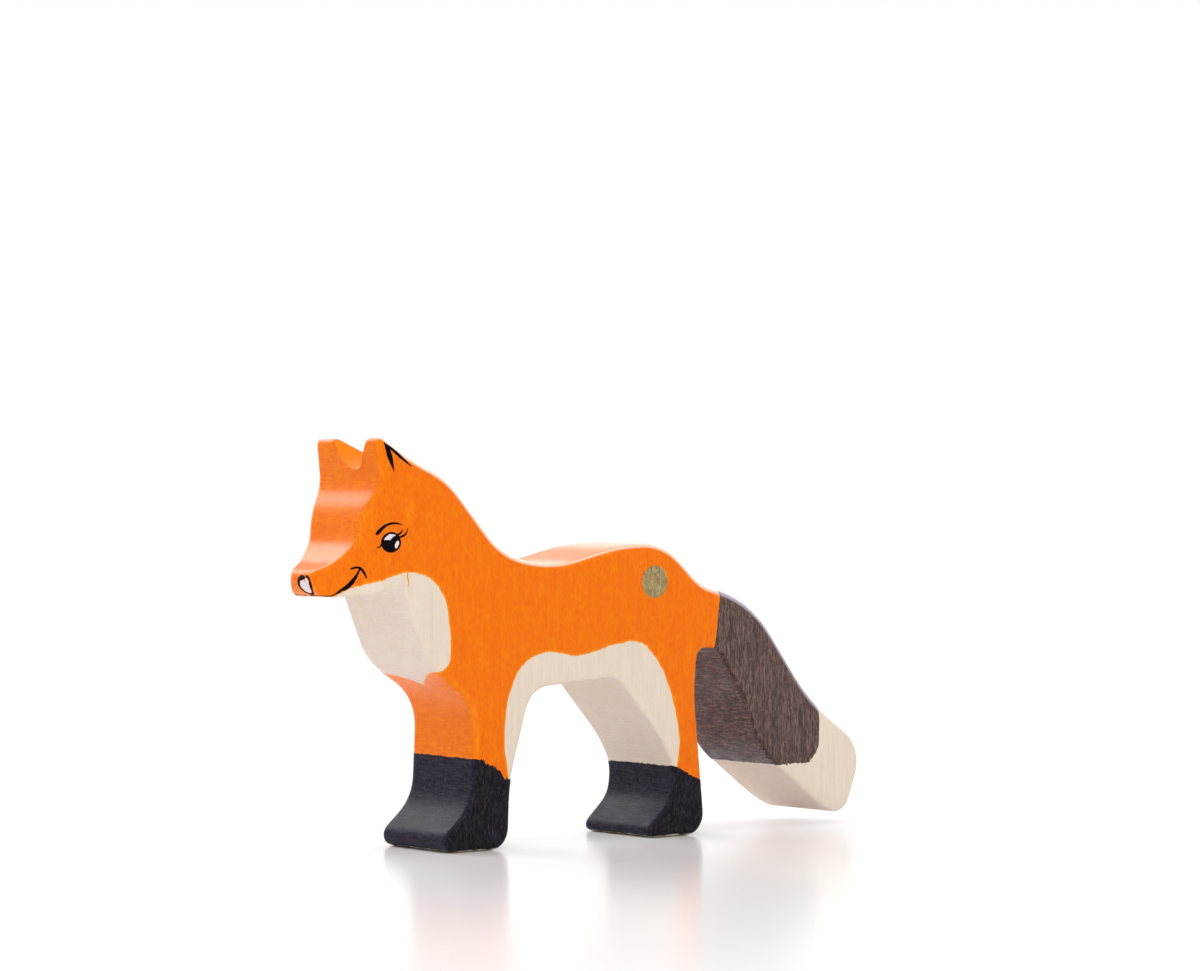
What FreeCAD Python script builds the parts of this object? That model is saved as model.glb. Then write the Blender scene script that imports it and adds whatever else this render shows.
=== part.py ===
import FreeCAD, Part
import math
import os

import Sketcher

# A toy fox sawn from one planed board and painted by hand, in millimetres. X runs from the nose to the tail
# end, Y across the board and Z up. The origin is under the middle of the figure, on the plane of the soles.
# The fox looks towards -X, so its left flank is the face at -Y.

# Driving sizes: name, value and meaning.
SIZES = (
    ("board_thickness", 22.0, "planed board that the figure is sawn from"),
    ("figure_length", 138.9, "nose tip to tail end"),
    ("figure_height", 82.5, "soles to ear tips"),
    ("arris_radius", 1.2, "sanded round of the edges between sawn edge and flank"),
    ("nose_flat_width", 4.4, "flat front of the nose, across the board"),
    ("nose_corner_radius", 3.2, "round of the nose corners, seen from above"),
    ("snout_taper_angle", 31.0, "degrees between the snout's sides and the board's faces"),
    ("ear_groove_width", 11.2, "groove between the ears, at the ear tips"),
    ("ear_groove_depth", 5.9, "ear tips to the bottom of the groove"),
    ("paint_thickness", 0.25, "each coat of colour on the wood"),
    ("ink_thickness", 0.15, "each drawn mark on the colour"),
    ("bare_sole_height", 0.5, "bare wood under the lower edge of the socks"),
    ("bib_point_drop", 3.0, "point of the bib below its lower edge, on the chest"),
    ("eye_width", 4.7, "outline of the eye along the snout"),
    ("eye_height", 3.95, "outline of the eye, upright"),
    ("brow_width", 0.65, "brow stroke at its widest"),
    ("lash_width", 0.4, "lash strokes at their widest"),
    ("smile_width", 0.8, "mouth stroke at its widest"),
    ("cheek_width", 0.5, "stroke across the end of the mouth"),
    ("ear_mark_width", 0.8, "strokes inside the ear at their widest"),
    ("nose_mark_width", 4.6, "outline of the nose, across the board"),
    ("nose_mark_height", 4.0, "outline of the nose, upright"),
    ("nose_line_width", 0.45, "stroke that outlines the nose"),
    ("gold_spot_diameter", 7.0, "gold mark on the flank"),
    ("overrun", 3.0, "how far a cutting shape reaches past what it cuts"),
)

# Corners of the figure's side view. Each row gives the place as a share of the figure's length from the nose
# and of its height from the soles, then how much of the shorter of the two runs that meet there the rounding
# takes up.
OUTLINE_SHARES = (
    (0.000, 0.650, 0.47),
    (0.016, 0.619, 0.43),
    (0.123, 0.638, 0.09),
    (0.165, 0.458, 0.30),
    (0.254, 0.361, 0.40),
    (0.249, 0.116, 0.31),
    (0.169, 0.000, 0.43),
    (0.311, 0.000, 0.30),
    (0.315, 0.164, 0.35),
    (0.353, 0.391, 0.23),
    (0.513, 0.410, 0.15),
    (0.602, 0.244, 0.40),
    (0.625, 0.170, 0.40),
    (0.620, 0.094, 0.40),
    (0.559, 0.000, 0.33),
    (0.686, 0.000, 0.28),
    (0.666, 0.358, 0.35),
    (0.671, 0.477, 0.46),
    (0.710, 0.477, 0.40),
    (0.769, 0.330, 0.32),
    (0.797, 0.206, 0.46),
    (0.966, 0.003, 0.24),
    (1.015, 0.200, 0.39),
    (0.899, 0.331, 0.34),
    (0.782, 0.587, 0.55),
    (0.680, 0.638, 0.19),
    (0.609, 0.744, 0.47),
    (0.526, 0.737, 0.38),
    (0.396, 0.684, 0.50),
    (0.302, 0.715, 0.44),
    (0.203, 0.897, 0.40),
    (0.137, 0.947, 0.31),
    (0.078, 1.011, 0.20),
    (0.086, 0.887, 0.37),
    (0.062, 0.824, 0.40),
    (0.057, 0.752, 0.36),
    (0.030, 0.704, 0.33),
    (0.000, 0.680, 0.47),
)

# Edges of the painted fields in the side view, with rows as above. Each field is a closed outline that runs
# out past the figure where the paint goes round its edge.
BIB_SHARES = (
    (-0.020, 0.617, 0.00),
    (0.022, 0.618, 0.30),
    (0.068, 0.656, 0.40),
    (0.133, 0.687, 0.35),
    (0.179, 0.662, 0.45),
    (0.203, 0.592, 0.45),
    (0.208, 0.491, 0.40),
    (0.196, 0.436, 0.40),
    (-0.020, 0.436, 0.00),
)
BELLY_SHARES = (
    (0.316, -0.034, 0.00),
    (0.312, 0.164, 0.30),
    (0.301, 0.321, 0.40),
    (0.315, 0.422, 0.40),
    (0.360, 0.486, 0.40),
    (0.436, 0.459, 0.40),
    (0.536, 0.501, 0.40),
    (0.571, 0.491, 0.40),
    (0.611, 0.406, 0.40),
    (0.636, 0.267, 0.40),
    (0.626, 0.164, 0.30),
    (0.619, -0.034, 0.00),
)
FRONT_SOCK_SHARES = (
    (0.144, -0.034, 0.00),
    (0.144, 0.229, 0.00),
    (0.256, 0.228, 0.20),
    (0.318, 0.160, 0.20),
    (0.346, 0.145, 0.00),
    (0.346, -0.034, 0.00),
)
REAR_SOCK_SHARES = (
    (0.547, -0.034, 0.00),
    (0.547, 0.184, 0.00),
    (0.621, 0.183, 0.30),
    (0.648, 0.167, 0.30),
    (0.680, 0.141, 0.30),
    (0.698, 0.136, 0.00),
    (0.698, -0.034, 0.00),
)
TAIL_SHARES = (
    (0.716, 0.679, 0.00),
    (0.711, 0.582, 0.30),
    (0.704, 0.497, 0.30),
    (0.706, 0.436, 0.00),
    (0.706, -0.034, 0.00),
    (1.044, -0.034, 0.00),
    (1.044, 0.679, 0.00),
)
TAIL_BROWN_SHARES = (
    (0.716, 0.679, 0.00),
    (0.711, 0.582, 0.30),
    (0.704, 0.497, 0.30),
    (0.706, 0.436, 0.00),
    (0.706, 0.165, 0.00),
    (0.860, 0.166, 0.20),
    (0.904, 0.162, 0.40),
    (0.921, 0.218, 0.40),
    (0.914, 0.327, 0.30),
    (0.911, 0.679, 0.00),
)

# Bottom of the bib on the chest, seen from the front: share of the board's thickness from its middle, share
# of the point's drop, and rounding.
BIB_POINT_SHARES = (
    (-0.50, -0.10, 0.00),
    (-0.50, 0.00, 0.00),
    (-0.22, 0.35, 0.30),
    (0.00, 1.05, 0.15),
    (0.22, 0.35, 0.30),
    (0.50, 0.00, 0.00),
    (0.50, -0.10, 0.00),
)
BIB_EDGE_SHARE = 0.436

# How far back from the nose the chest's front is cut, as a share of the length: inside the wood of the leg.
CHEST_SHARE = 0.270

# Groove between the ears, seen from the front: share of the groove's width from the board's middle, share of
# its depth below the ear tips, and rounding. It was cut a little nearer to the left ear.
EAR_GROOVE_SHARES = (
    (-0.66, -0.50, 0.00),
    (-0.44, 1.06, 0.40),
    (0.00, 1.03, 0.45),
    (0.54, -0.50, 0.00),
)

# Middle of the eye, and its white fields: shares of the eye's width and height from that middle.
EYE_PLACE_SHARES = (0.101, 0.7505)
EYE_CRESCENT_SHARES = (
    (-0.42, 0.12, 0.20),
    (-0.26, 0.40, 0.40),
    (0.06, 0.50, 0.40),
    (0.28, 0.38, 0.30),
    (0.04, 0.18, 0.40),
    (-0.20, 0.10, 0.30),
)
EYE_GLINT_SHARES = (
    (0.13, -0.30, 0.40),
    (0.17, 0.00, 0.40),
    (0.34, 0.13, 0.40),
    (0.45, 0.04, 0.40),
    (0.39, -0.22, 0.40),
    (0.26, -0.38, 0.40),
)

# Strokes of the brush in the side view: share of the figure's length, share of its height, and the stroke's
# width there as a share of its widest.
BROW_SHARES = (
    (0.0780, 0.7710, 0.60),
    (0.0825, 0.7850, 1.00),
    (0.0910, 0.7930, 1.00),
    (0.1030, 0.7970, 0.70),
    (0.1130, 0.7955, 0.50),
    (0.1220, 0.7920, 0.20),
)
LASH_SHARES = (
    (
        (0.1115, 0.7700, 0.60),
        (0.1192, 0.7752, 1.00),
        (0.1220, 0.7815, 0.40),
    ),
    (
        (0.1120, 0.7640, 0.60),
        (0.1232, 0.7675, 1.00),
        (0.1280, 0.7740, 1.00),
        (0.1306, 0.7825, 0.40),
    ),
    (
        (0.0875, 0.7520, 0.60),
        (0.0820, 0.7415, 1.00),
        (0.0775, 0.7365, 0.40),
    ),
)
SMILE_SHARES = (
    (0.0110, 0.6290, 0.40),
    (0.0260, 0.6270, 0.50),
    (0.0342, 0.6360, 0.80),
    (0.0426, 0.6453, 1.00),
    (0.0487, 0.6572, 1.00),
    (0.0540, 0.6705, 0.70),
    (0.0583, 0.6915, 0.40),
)
CHEEK_SHARES = (
    (0.0481, 0.6903, 0.50),
    (0.0535, 0.6927, 0.90),
    (0.0583, 0.6915, 1.00),
    (0.0631, 0.6821, 1.00),
    (0.0662, 0.6690, 0.50),
)
EAR_MARK_SHARES = (
    (
        (0.0905, 0.9850, 0.30),
        (0.0960, 0.9680, 0.70),
        (0.1005, 0.9510, 1.00),
        (0.1062, 0.9215, 0.30),
    ),
    (
        (0.0925, 0.9820, 0.30),
        (0.1060, 0.9680, 0.60),
        (0.1190, 0.9510, 0.50),
        (0.1330, 0.9350, 0.30),
    ),
)

# Nose seen from the front: shares of the mark's width and height from its middle, and rounding. The middle is
# a share of the board's thickness to the left of the board's own middle, and a share of the figure's height.
NOSE_PLACE_SHARES = (-0.060, 0.6505)
NOSE_OUTLINE_SHARES = (
    (0.50, 0.20, 0.40),
    (0.44, -0.28, 0.40),
    (0.00, -0.52, 0.35),
    (-0.38, -0.52, 0.30),
    (-0.52, 0.10, 0.30),
    (-0.40, 0.50, 0.40),
    (0.02, 0.36, 0.25),
    (0.32, 0.54, 0.40),
)
NOSE_REACH_SHARE = 0.030
GOLD_SPOT_SHARES = (0.585, 0.646)

ROUND_LINE_SHARE = 0.40

# Two places nearer to each other than this are one place.
SAME_PLACE = 1e-6

document = FreeCAD.newDocument("fox_figurine")
sheet = document.addObject("Spreadsheet::Sheet", "sizes")


def fill_sheet():
    """Write every driving size into the sheet, with its name as alias and its meaning beside it."""
    for row, (name, value, meaning) in enumerate(SIZES, start=1):
        sheet.set(f"A{row}", name)
        sheet.set(f"B{row}", str(value))
        sheet.set(f"C{row}", meaning)
        sheet.setAlias(f"B{row}", name)
    document.recompute()


def size(expression):
    """Value of an expression in the sheet's names."""
    return float(sheet.evalExpression(expression))


def side_points(rows):
    """Corners of a side view, in millimetres from the frame's origin, each with its rounding."""
    length = size("figure_length")
    height = size("figure_height")
    return [((across - 0.5) * length, up * height, rounding) for across, up, rounding in rows]


def placed_points(rows, middle, width, height):
    """Corners given as shares of a width and height about a middle."""
    return [(middle[0] + across * width, middle[1] + up * height, rounding) for across, up, rounding in rows]


def stroke_points(rows, width):
    """Outline of a brush stroke that follows the rows' places and is as wide as their third share says."""
    middle = side_points(rows)
    edges = ([], [])
    last = len(middle) - 1
    for index, (across, up, share) in enumerate(middle):
        before = middle[max(index - 1, 0)]
        after = middle[min(index + 1, last)]
        run = math.hypot(after[0] - before[0], after[1] - before[1])
        normal = ((before[1] - after[1]) / run, (after[0] - before[0]) / run)
        for edge, side in zip(edges, (1, -1)):
            offset = side * share * width / 2
            edge.append((across + offset * normal[0], up + offset * normal[1], ROUND_LINE_SHARE))
    return edges[0] + edges[1][::-1]


def draw_rounded(sketch, points):
    """Draw a closed outline with rounded corners and constrain it fully.

    Every corner is a construction point at its own place. The straight edges run through these points, and
    an arc joins each two edges, tangent to both, at the distance from the corner that its rounding gives.
    """
    count = len(points)
    corners = [FreeCAD.Vector(across, up, 0) for across, up, _ in points]
    runs = [corners[(index + 1) % count].distanceToPoint(corners[index]) for index in range(count)]
    setbacks = [points[index][2] * min(runs[index - 1], runs[index]) for index in range(count)]
    directions = [(corners[(index + 1) % count] - corners[index]).normalize() for index in range(count)]

    lines = []
    for index in range(count):
        following = (index + 1) % count
        start = corners[index] + directions[index] * setbacks[index]
        end = corners[following] - directions[index] * setbacks[following]
        lines.append(Part.LineSegment(start, end))
    sketch.addGeometry(lines, False)
    first_point = sketch.GeometryCount
    sketch.addGeometry([Part.Point(corner) for corner in corners], True)

    constraints = []
    for index, corner in enumerate(corners):
        pin = first_point + index
        constraints.append(Sketcher.Constraint("DistanceX", -1, 1, pin, 1, corner.x))
        constraints.append(Sketcher.Constraint("DistanceY", -1, 1, pin, 1, corner.y))
        before = (index - 1) % count
        if setbacks[index] == 0:
            constraints.append(Sketcher.Constraint("Coincident", before, 2, pin, 1))
            constraints.append(Sketcher.Constraint("Coincident", index, 1, pin, 1))
            continue
        arc, starts_first = corner_arc(corner, lines[before].EndPoint, lines[index].StartPoint)
        sketch.addGeometry(arc, False)
        bend = sketch.GeometryCount - 1
        near, far = (1, 2) if starts_first else (2, 1)
        constraints.append(Sketcher.Constraint("Tangent", before, 2, bend, near))
        constraints.append(Sketcher.Constraint("Tangent", bend, far, index, 1))
        constraints.append(Sketcher.Constraint("PointOnObject", pin, 1, before))
        constraints.append(Sketcher.Constraint("PointOnObject", pin, 1, index))
        constraints.append(Sketcher.Constraint("Distance", pin, 1, bend, 1, setbacks[index]))
    sketch.addConstraint(constraints)


def corner_arc(corner, start, end):
    """Arc tangent to two edges that meet at a corner, and whether its own start lies on the first edge."""
    to_start = (start - corner).normalize()
    to_end = (end - corner).normalize()
    half_angle = to_start.getAngle(to_end) / 2
    setback = start.distanceToPoint(corner)
    centre = corner + (to_start + to_end).normalize() * (setback / math.cos(half_angle))
    circle = Part.Circle(centre, FreeCAD.Vector(0, 0, 1), setback * math.tan(half_angle))
    first = math.atan2(start.y - centre.y, start.x - centre.x)
    second = math.atan2(end.y - centre.y, end.x - centre.x)
    turn = (second - first + math.pi) % (2 * math.pi) - math.pi
    if turn > 0:
        return Part.ArcOfCircle(circle, first, first + turn), True
    return Part.ArcOfCircle(circle, second, second - turn), False


SIDE_VIEW = FreeCAD.Placement(FreeCAD.Vector(), FreeCAD.Rotation(FreeCAD.Vector(1, 0, 0), 90))
FRONT_VIEW = FreeCAD.Placement(FreeCAD.Vector(), FreeCAD.Rotation(FreeCAD.Vector(1, 1, 1), 120))


def body_sketch(body, name, role):
    """Sketch of a body, on the origin plane that has the given role."""
    sketch = body.newObject("Sketcher::SketchObject", name)
    plane = next(item for item in body.Origin.OriginFeatures if item.Role == role)
    sketch.AttachmentSupport = [(plane, "")]
    sketch.MapMode = "FlatFace"
    document.recompute([sketch])
    return sketch


def free_sketch(name, view, points):
    """Sketch that stands by itself in a view, with a rounded outline."""
    sketch = document.addObject("Sketcher::SketchObject", name + "_outline")
    sketch.Placement = view
    draw_rounded(sketch, points)
    return sketch


def prism(name, profile, forward, backward):
    """Solid along the profile's normal, with both lengths bound to the sheet."""
    solid = document.addObject("Part::Extrusion", name)
    solid.Base = profile
    solid.DirMode = "Normal"
    solid.Solid = True
    solid.setExpression("LengthFwd", forward)
    solid.setExpression("LengthRev", backward)
    return solid


REACH = "sizes.board_thickness / 2 + sizes.overrun"


def cut(name, base, tool):
    """One solid less another."""
    result = document.addObject("Part::Cut", name)
    result.Base = base
    result.Tool = tool
    return result


def common(name, shapes):
    """What several solids share."""
    result = document.addObject("Part::MultiCommon", name)
    result.Shapes = shapes
    return result


def fuse(name, shapes):
    """Several solids as one."""
    result = document.addObject("Part::MultiFuse", name)
    result.Shapes = shapes
    return result


def flank_edges(shape, half_thickness):
    """Numbers of the edges that lie in the two flanks of the board."""
    numbers = []
    for number, edge in enumerate(shape.Edges, start=1):
        box = edge.BoundBox
        if box.YLength < SAME_PLACE and abs(abs(box.YMin) - half_thickness) < SAME_PLACE:
            numbers.append(number)
    return numbers


def snout_points(side):
    """Plan of the wood that is taken off one side of the snout, from its nose corner to the full board."""
    radius = size("nose_corner_radius")
    half_flat = size("nose_flat_width / 2")
    taper = math.radians(size("snout_taper_angle"))
    nose = -size("figure_length / 2")
    over = size("overrun")
    # Where the taper's line meets the nose's own plane, its height above the board's middle
    corner = half_flat + radius * (1 - math.sin(taper)) / math.cos(taper)
    outside = size("board_thickness / 2") + over
    run_out = nose + (outside - corner) / math.tan(taper)
    setback = radius * math.tan((math.pi / 2 - taper) / 2)
    shorter = min(corner - half_flat + over, (outside - corner) / math.sin(taper))
    return [
        (nose, side * (half_flat - over), 0.0),
        (nose, side * corner, setback / shorter),
        (run_out, side * outside, 0.0),
        (nose - over, side * outside, 0.0),
        (nose - over, side * (half_flat - over), 0.0),
    ]


def ear_groove_points():
    """Front view of the groove between the ears."""
    return placed_points(
        EAR_GROOVE_SHARES, (0.0, size("figure_height")), size("ear_groove_width"), -size("ear_groove_depth")
    )


def make_wood_blank():
    """Sawn figure: outline padded to the board's thickness, arrises rounded, snout tapered, ears parted."""
    body = document.addObject("PartDesign::Body", "wood_blank")
    outline = body_sketch(body, "sawn_outline", "XZ_Plane")
    draw_rounded(outline, side_points(OUTLINE_SHARES))
    board = body.newObject("PartDesign::Pad", "board")
    board.Profile = outline
    board.Midplane = True
    board.setExpression("Length", "sizes.board_thickness")
    document.recompute()

    arris = body.newObject("PartDesign::Fillet", "sanded_arris")
    numbers = flank_edges(board.Shape, size("board_thickness / 2"))
    arris.Base = (board, [f"Edge{number}" for number in numbers])
    arris.setExpression("Radius", "sizes.arris_radius")
    document.recompute()

    tools = [outline]
    for name, side in (("left_snout_taper", -1), ("right_snout_taper", 1)):
        plan = body_sketch(body, name + "_plan", "XY_Plane")
        draw_rounded(plan, snout_points(side))
        taper = body.newObject("PartDesign::Pocket", name)
        taper.Profile = plan
        taper.Type = "ThroughAll"
        taper.Midplane = True
        tools.append(plan)
    view = body_sketch(body, "ear_groove_view", "YZ_Plane")
    draw_rounded(view, ear_groove_points())
    groove = body.newObject("PartDesign::Pocket", "ear_groove")
    groove.Profile = view
    groove.Type = "ThroughAll"
    groove.Midplane = True
    tools.append(view)
    document.recompute()
    check_cut(arris, groove)
    return body, tools


def check_cut(before, after):
    """Stop if the cuts between two features took nothing away."""
    if not after.Shape.Volume < before.Shape.Volume:
        raise RuntimeError(f"{after.Label} took no wood away")


def make_envelope(name, tools, growth):
    """The whole figure again, grown outward on every side by a growth given in the sheet's names."""
    outline, left_plan, right_plan, view = tools
    grown = document.addObject("Part::Offset2D", name + "_outline")
    grown.Source = outline
    grown.setExpression("Value", growth)
    half = f"(sizes.board_thickness / 2 + {growth})"
    board = prism(name + "_board", grown, half, half)
    document.recompute()

    arris = document.addObject("Part::Fillet", name + "_arris")
    arris.Base = board
    radius = size(f"sizes.arris_radius + {growth}")
    numbers = flank_edges(board.Shape, size(f"sizes.board_thickness / 2 + {growth}"))
    arris.Edges = [(number, radius, radius) for number in numbers]

    cuts = []
    for tool_name, profile, reach in (
        ("left_snout", left_plan, "sizes.figure_height + sizes.overrun"),
        ("right_snout", right_plan, "sizes.figure_height + sizes.overrun"),
        ("groove", view, "sizes.figure_length"),
    ):
        shrunk = document.addObject("Part::Offset2D", f"{name}_{tool_name}_profile")
        shrunk.Source = profile
        shrunk.setExpression("Value", f"-({growth})")
        cuts.append(prism(f"{name}_{tool_name}", shrunk, reach, reach))
    shape = arris
    for tool in cuts:
        shape = cut(tool.Name + "_cut", shape, tool)
    document.recompute()
    return shape


def field(name, rows):
    """Prism through the whole figure over a painted field of the side view."""
    return prism(name, free_sketch(name, SIDE_VIEW, side_points(rows)), REACH, REACH)


def bib_point():
    """Prism under the lower edge of the bib on the chest, as far back as the chest's own thickness."""
    middle = (0.0, BIB_EDGE_SHARE * size("figure_height"))
    points = placed_points(BIB_POINT_SHARES, middle, size("board_thickness"), -size("bib_point_drop"))
    profile = free_sketch("bib_point", FRONT_VIEW, points)
    return prism("bib_point", profile, f"-(0.5 - {CHEST_SHARE}) * sizes.figure_length", "sizes.figure_length")


def make_coats(skin):
    """Coats of colour: the skin over the wood, divided at the edges of the painted fields."""
    bare_soles = document.addObject("Part::Box", "bare_soles")
    bare_soles.setExpression("Length", "sizes.figure_length * 2")
    bare_soles.setExpression("Width", "sizes.board_thickness * 2")
    bare_soles.setExpression("Height", "sizes.overrun + sizes.bare_sole_height")
    bare_soles.setExpression("Placement.Base.x", "-sizes.figure_length")
    bare_soles.setExpression("Placement.Base.y", "-sizes.board_thickness")
    bare_soles.setExpression("Placement.Base.z", "-sizes.overrun")

    front_sock = field("front_sock", FRONT_SOCK_SHARES)
    rear_sock = field("rear_sock", REAR_SOCK_SHARES)
    bare = [
        field("bib", BIB_SHARES),
        bib_point(),
        field("belly", BELLY_SHARES),
        field("tail", TAIL_SHARES),
    ]
    other_fields = fuse("fields_without_orange", bare + [front_sock, rear_sock])
    coats = [cut("orange_coat", skin, other_fields)]
    for name, sock in (("front_sock_coat", front_sock), ("rear_sock_coat", rear_sock)):
        coats.append(cut(name, common(name + "_field", [skin, sock]), bare_soles))
    coats.append(common("tail_brown_coat", [skin, field("tail_brown", TAIL_BROWN_SHARES)]))
    return coats


def flank_prism(name, side, profile, start="0"):
    """Prism over a mark of the side view, from a start above the board's middle out through one flank."""
    if side == "left":
        return prism(name, profile, REACH, f"-({start})")
    return prism(name, profile, f"-({start})", REACH)


def eye_prism(name, side):
    """Prism over the oval outline of one eye."""
    across, up, _ = side_points([(*EYE_PLACE_SHARES, 0)])[0]
    sketch = document.addObject("Sketcher::SketchObject", name + "_outline")
    sketch.Placement = SIDE_VIEW
    middle = FreeCAD.Vector(across, up, 0)
    sketch.addGeometry(Part.Ellipse(middle, size("eye_width / 2"), size("eye_height / 2")), False)
    return flank_prism(name, side, sketch)


def make_flank_marks(side, ink):
    """Eye, brow, lashes, mouth and ear strokes of one side, each a film of ink on the orange coat."""
    across, up, _ = side_points([(*EYE_PLACE_SHARES, 0)])[0]
    eye = eye_prism(side + "_eye", side)
    whites = []
    for name, rows in (("crescent", EYE_CRESCENT_SHARES), ("glint", EYE_GLINT_SHARES)):
        points = placed_points(rows, (across, up), size("eye_width"), size("eye_height"))
        profile = free_sketch(f"{side}_eye_{name}", SIDE_VIEW, points)
        whites.append(flank_prism(f"{side}_eye_{name}", side, profile))
    white = fuse(side + "_eye_whites", whites)
    marks = [
        cut(side + "_eye_black", common(side + "_eye_ink", [ink, eye]), white),
        common(side + "_eye_white", [ink, white]),
    ]
    flank = "sizes.board_thickness / 2 - sizes.arris_radius"
    for name, strokes, start in (
        ("brow", ((BROW_SHARES, "brow_width"),), "0"),
        ("lashes", [(rows, "lash_width") for rows in LASH_SHARES], "0"),
        ("smile", ((SMILE_SHARES, "smile_width"), (CHEEK_SHARES, "cheek_width")), "0"),
        ("ear_mark", [(rows, "ear_mark_width") for rows in EAR_MARK_SHARES], flank),
    ):
        shapes = []
        for number, (rows, width) in enumerate(strokes, start=1):
            stroke_name = f"{side}_{name}_stroke_{number}"
            profile = free_sketch(stroke_name, SIDE_VIEW, stroke_points(rows, size(width)))
            shapes.append(flank_prism(stroke_name, side, profile, start))
        stroke = fuse(f"{side}_{name}_strokes", shapes) if len(shapes) > 1 else shapes[0]
        if name == "lashes":
            stroke = cut(f"{side}_{name}_clear_of_eye", stroke, eye)
        marks.append(common(f"{side}_{name}", [ink, stroke]))
    return marks


def make_nose(ink):
    """Outline and white of the nose, drawn on the front of the snout."""
    middle = (NOSE_PLACE_SHARES[0] * size("board_thickness"), NOSE_PLACE_SHARES[1] * size("figure_height"))
    line = size("nose_line_width")
    solids = []
    for name, width, height in (
        ("nose_outside", size("nose_mark_width"), size("nose_mark_height")),
        ("nose_inside", size("nose_mark_width") - 2 * line, size("nose_mark_height") - 2 * line),
    ):
        points = placed_points(NOSE_OUTLINE_SHARES, middle, width, height)
        profile = free_sketch(name, FRONT_VIEW, points)
        reach = f"-(0.5 - {NOSE_REACH_SHARE}) * sizes.figure_length"
        solids.append(prism(name, profile, reach, "sizes.figure_length"))
    outside, inside = solids
    return [
        cut("nose_line", common("nose_ink", [ink, outside]), inside),
        common("nose_white", [ink, inside]),
    ]


def make_gold_spot():
    """Round gold mark on the left flank, on the orange coat."""
    spot = document.addObject("Part::Cylinder", "gold_spot")
    spot.setExpression("Radius", "sizes.gold_spot_diameter / 2")
    spot.setExpression("Height", "sizes.ink_thickness")
    across, up = GOLD_SPOT_SHARES
    spot.Placement.Rotation = FreeCAD.Rotation(FreeCAD.Vector(1, 0, 0), 90)
    spot.setExpression("Placement.Base.x", f"({across} - 0.5) * sizes.figure_length")
    spot.setExpression("Placement.Base.y", "-(sizes.board_thickness / 2 + sizes.paint_thickness)")
    spot.setExpression("Placement.Base.z", f"{up} * sizes.figure_height")
    return spot


def check_document(parts):
    """Stop if any object failed or any sub-part is empty or not a valid solid."""
    for item in document.Objects:
        if "Invalid" in item.State or "Error" in item.State:
            raise RuntimeError(f"{item.Label} failed: {item.State}")
    for item in parts:
        if item.Shape.isNull() or not item.Shape.isValid() or not item.Shape.Solids:
            raise RuntimeError(f"{item.Label} is not a valid solid")


def export_part(item):
    """Write a sub-part's solids under the name of its node."""
    item.Shape.exportStep(os.path.join("parts", item.Label + ".step"))


def main():
    fill_sheet()
    wood, tools = make_wood_blank()
    coated = make_envelope("coated", tools, "sizes.paint_thickness")
    inked = make_envelope("inked", tools, "sizes.paint_thickness + sizes.ink_thickness")
    skin = cut("skin", coated, wood)
    ink = cut("ink", inked, coated)
    parts = [wood] + make_coats(skin) + make_nose(ink) + [make_gold_spot()]
    for side in ("left", "right"):
        parts += make_flank_marks(side, ink)
    document.recompute()
    check_document(parts)
    os.makedirs("parts", exist_ok=True)
    for item in parts:
        export_part(item)
        box = item.Shape.BoundBox
        print(f"{item.Label}: {len(item.Shape.Solids)} solids, {item.Shape.Volume:.2f} mm3, z {box.ZMin:.2f}")


main()
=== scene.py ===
import logging
import math
from collections.abc import Callable, Sequence
from dataclasses import dataclass, field
from enum import Enum, IntEnum

import bpy
import numpy as np
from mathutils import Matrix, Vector
from mathutils.geometry import delaunay_2d_cdt


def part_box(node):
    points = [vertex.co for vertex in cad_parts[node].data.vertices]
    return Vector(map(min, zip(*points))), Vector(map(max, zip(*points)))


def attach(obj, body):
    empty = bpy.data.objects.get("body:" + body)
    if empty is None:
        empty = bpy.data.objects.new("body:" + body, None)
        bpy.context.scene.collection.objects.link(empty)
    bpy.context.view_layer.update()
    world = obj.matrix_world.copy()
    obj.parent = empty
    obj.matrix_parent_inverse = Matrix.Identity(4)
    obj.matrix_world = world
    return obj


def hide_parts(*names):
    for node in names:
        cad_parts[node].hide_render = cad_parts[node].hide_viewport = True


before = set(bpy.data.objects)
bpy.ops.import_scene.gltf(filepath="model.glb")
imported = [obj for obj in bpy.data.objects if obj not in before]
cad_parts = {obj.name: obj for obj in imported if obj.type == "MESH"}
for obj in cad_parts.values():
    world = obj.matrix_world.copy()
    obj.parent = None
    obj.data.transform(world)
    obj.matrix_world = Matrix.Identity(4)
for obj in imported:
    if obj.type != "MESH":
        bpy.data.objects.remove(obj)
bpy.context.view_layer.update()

log = logging.getLogger("toy_fox")

MM = 0.001
BODY = "root"

# Least length, and least square of a length, that anything is divided by.
LEAST_LENGTH = 1e-12
LEAST_SQUARE = 1e-18

# Options of the triangulation: only what is inside the border, and how close two places are the same.
INSIDE_ONLY = 1
SAME_PLACE = 1e-9

# Factors that scatter the random values of drifting edges.
DRIFT_MIXERS = (127.1, 311.7, 74.7)
DRIFT_SEED_STEP = 19.19
DRIFT_SPREAD = 43758.5453

Array = np.ndarray
Rows = Sequence[tuple[float, ...]]
Pair = tuple[float, float]
Triple = tuple[float, float, float]
Colour = tuple[int, int, int]
Material = bpy.types.Material
Socket = bpy.types.NodeSocket
Sockets = bpy.types.bpy_prop_collection
Value = float | Socket


class Side(Enum):
    """Flank of the fox, with the sign of its Y."""

    LEFT = -1
    RIGHT = 1


class Cover(Enum):
    """How far a film stands off the wood: later strokes lie on earlier ones."""

    STAIN = 0.05 * MM
    PAINT = 0.09 * MM
    INK = 0.12 * MM
    HIGHLIGHT = 0.15 * MM


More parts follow.
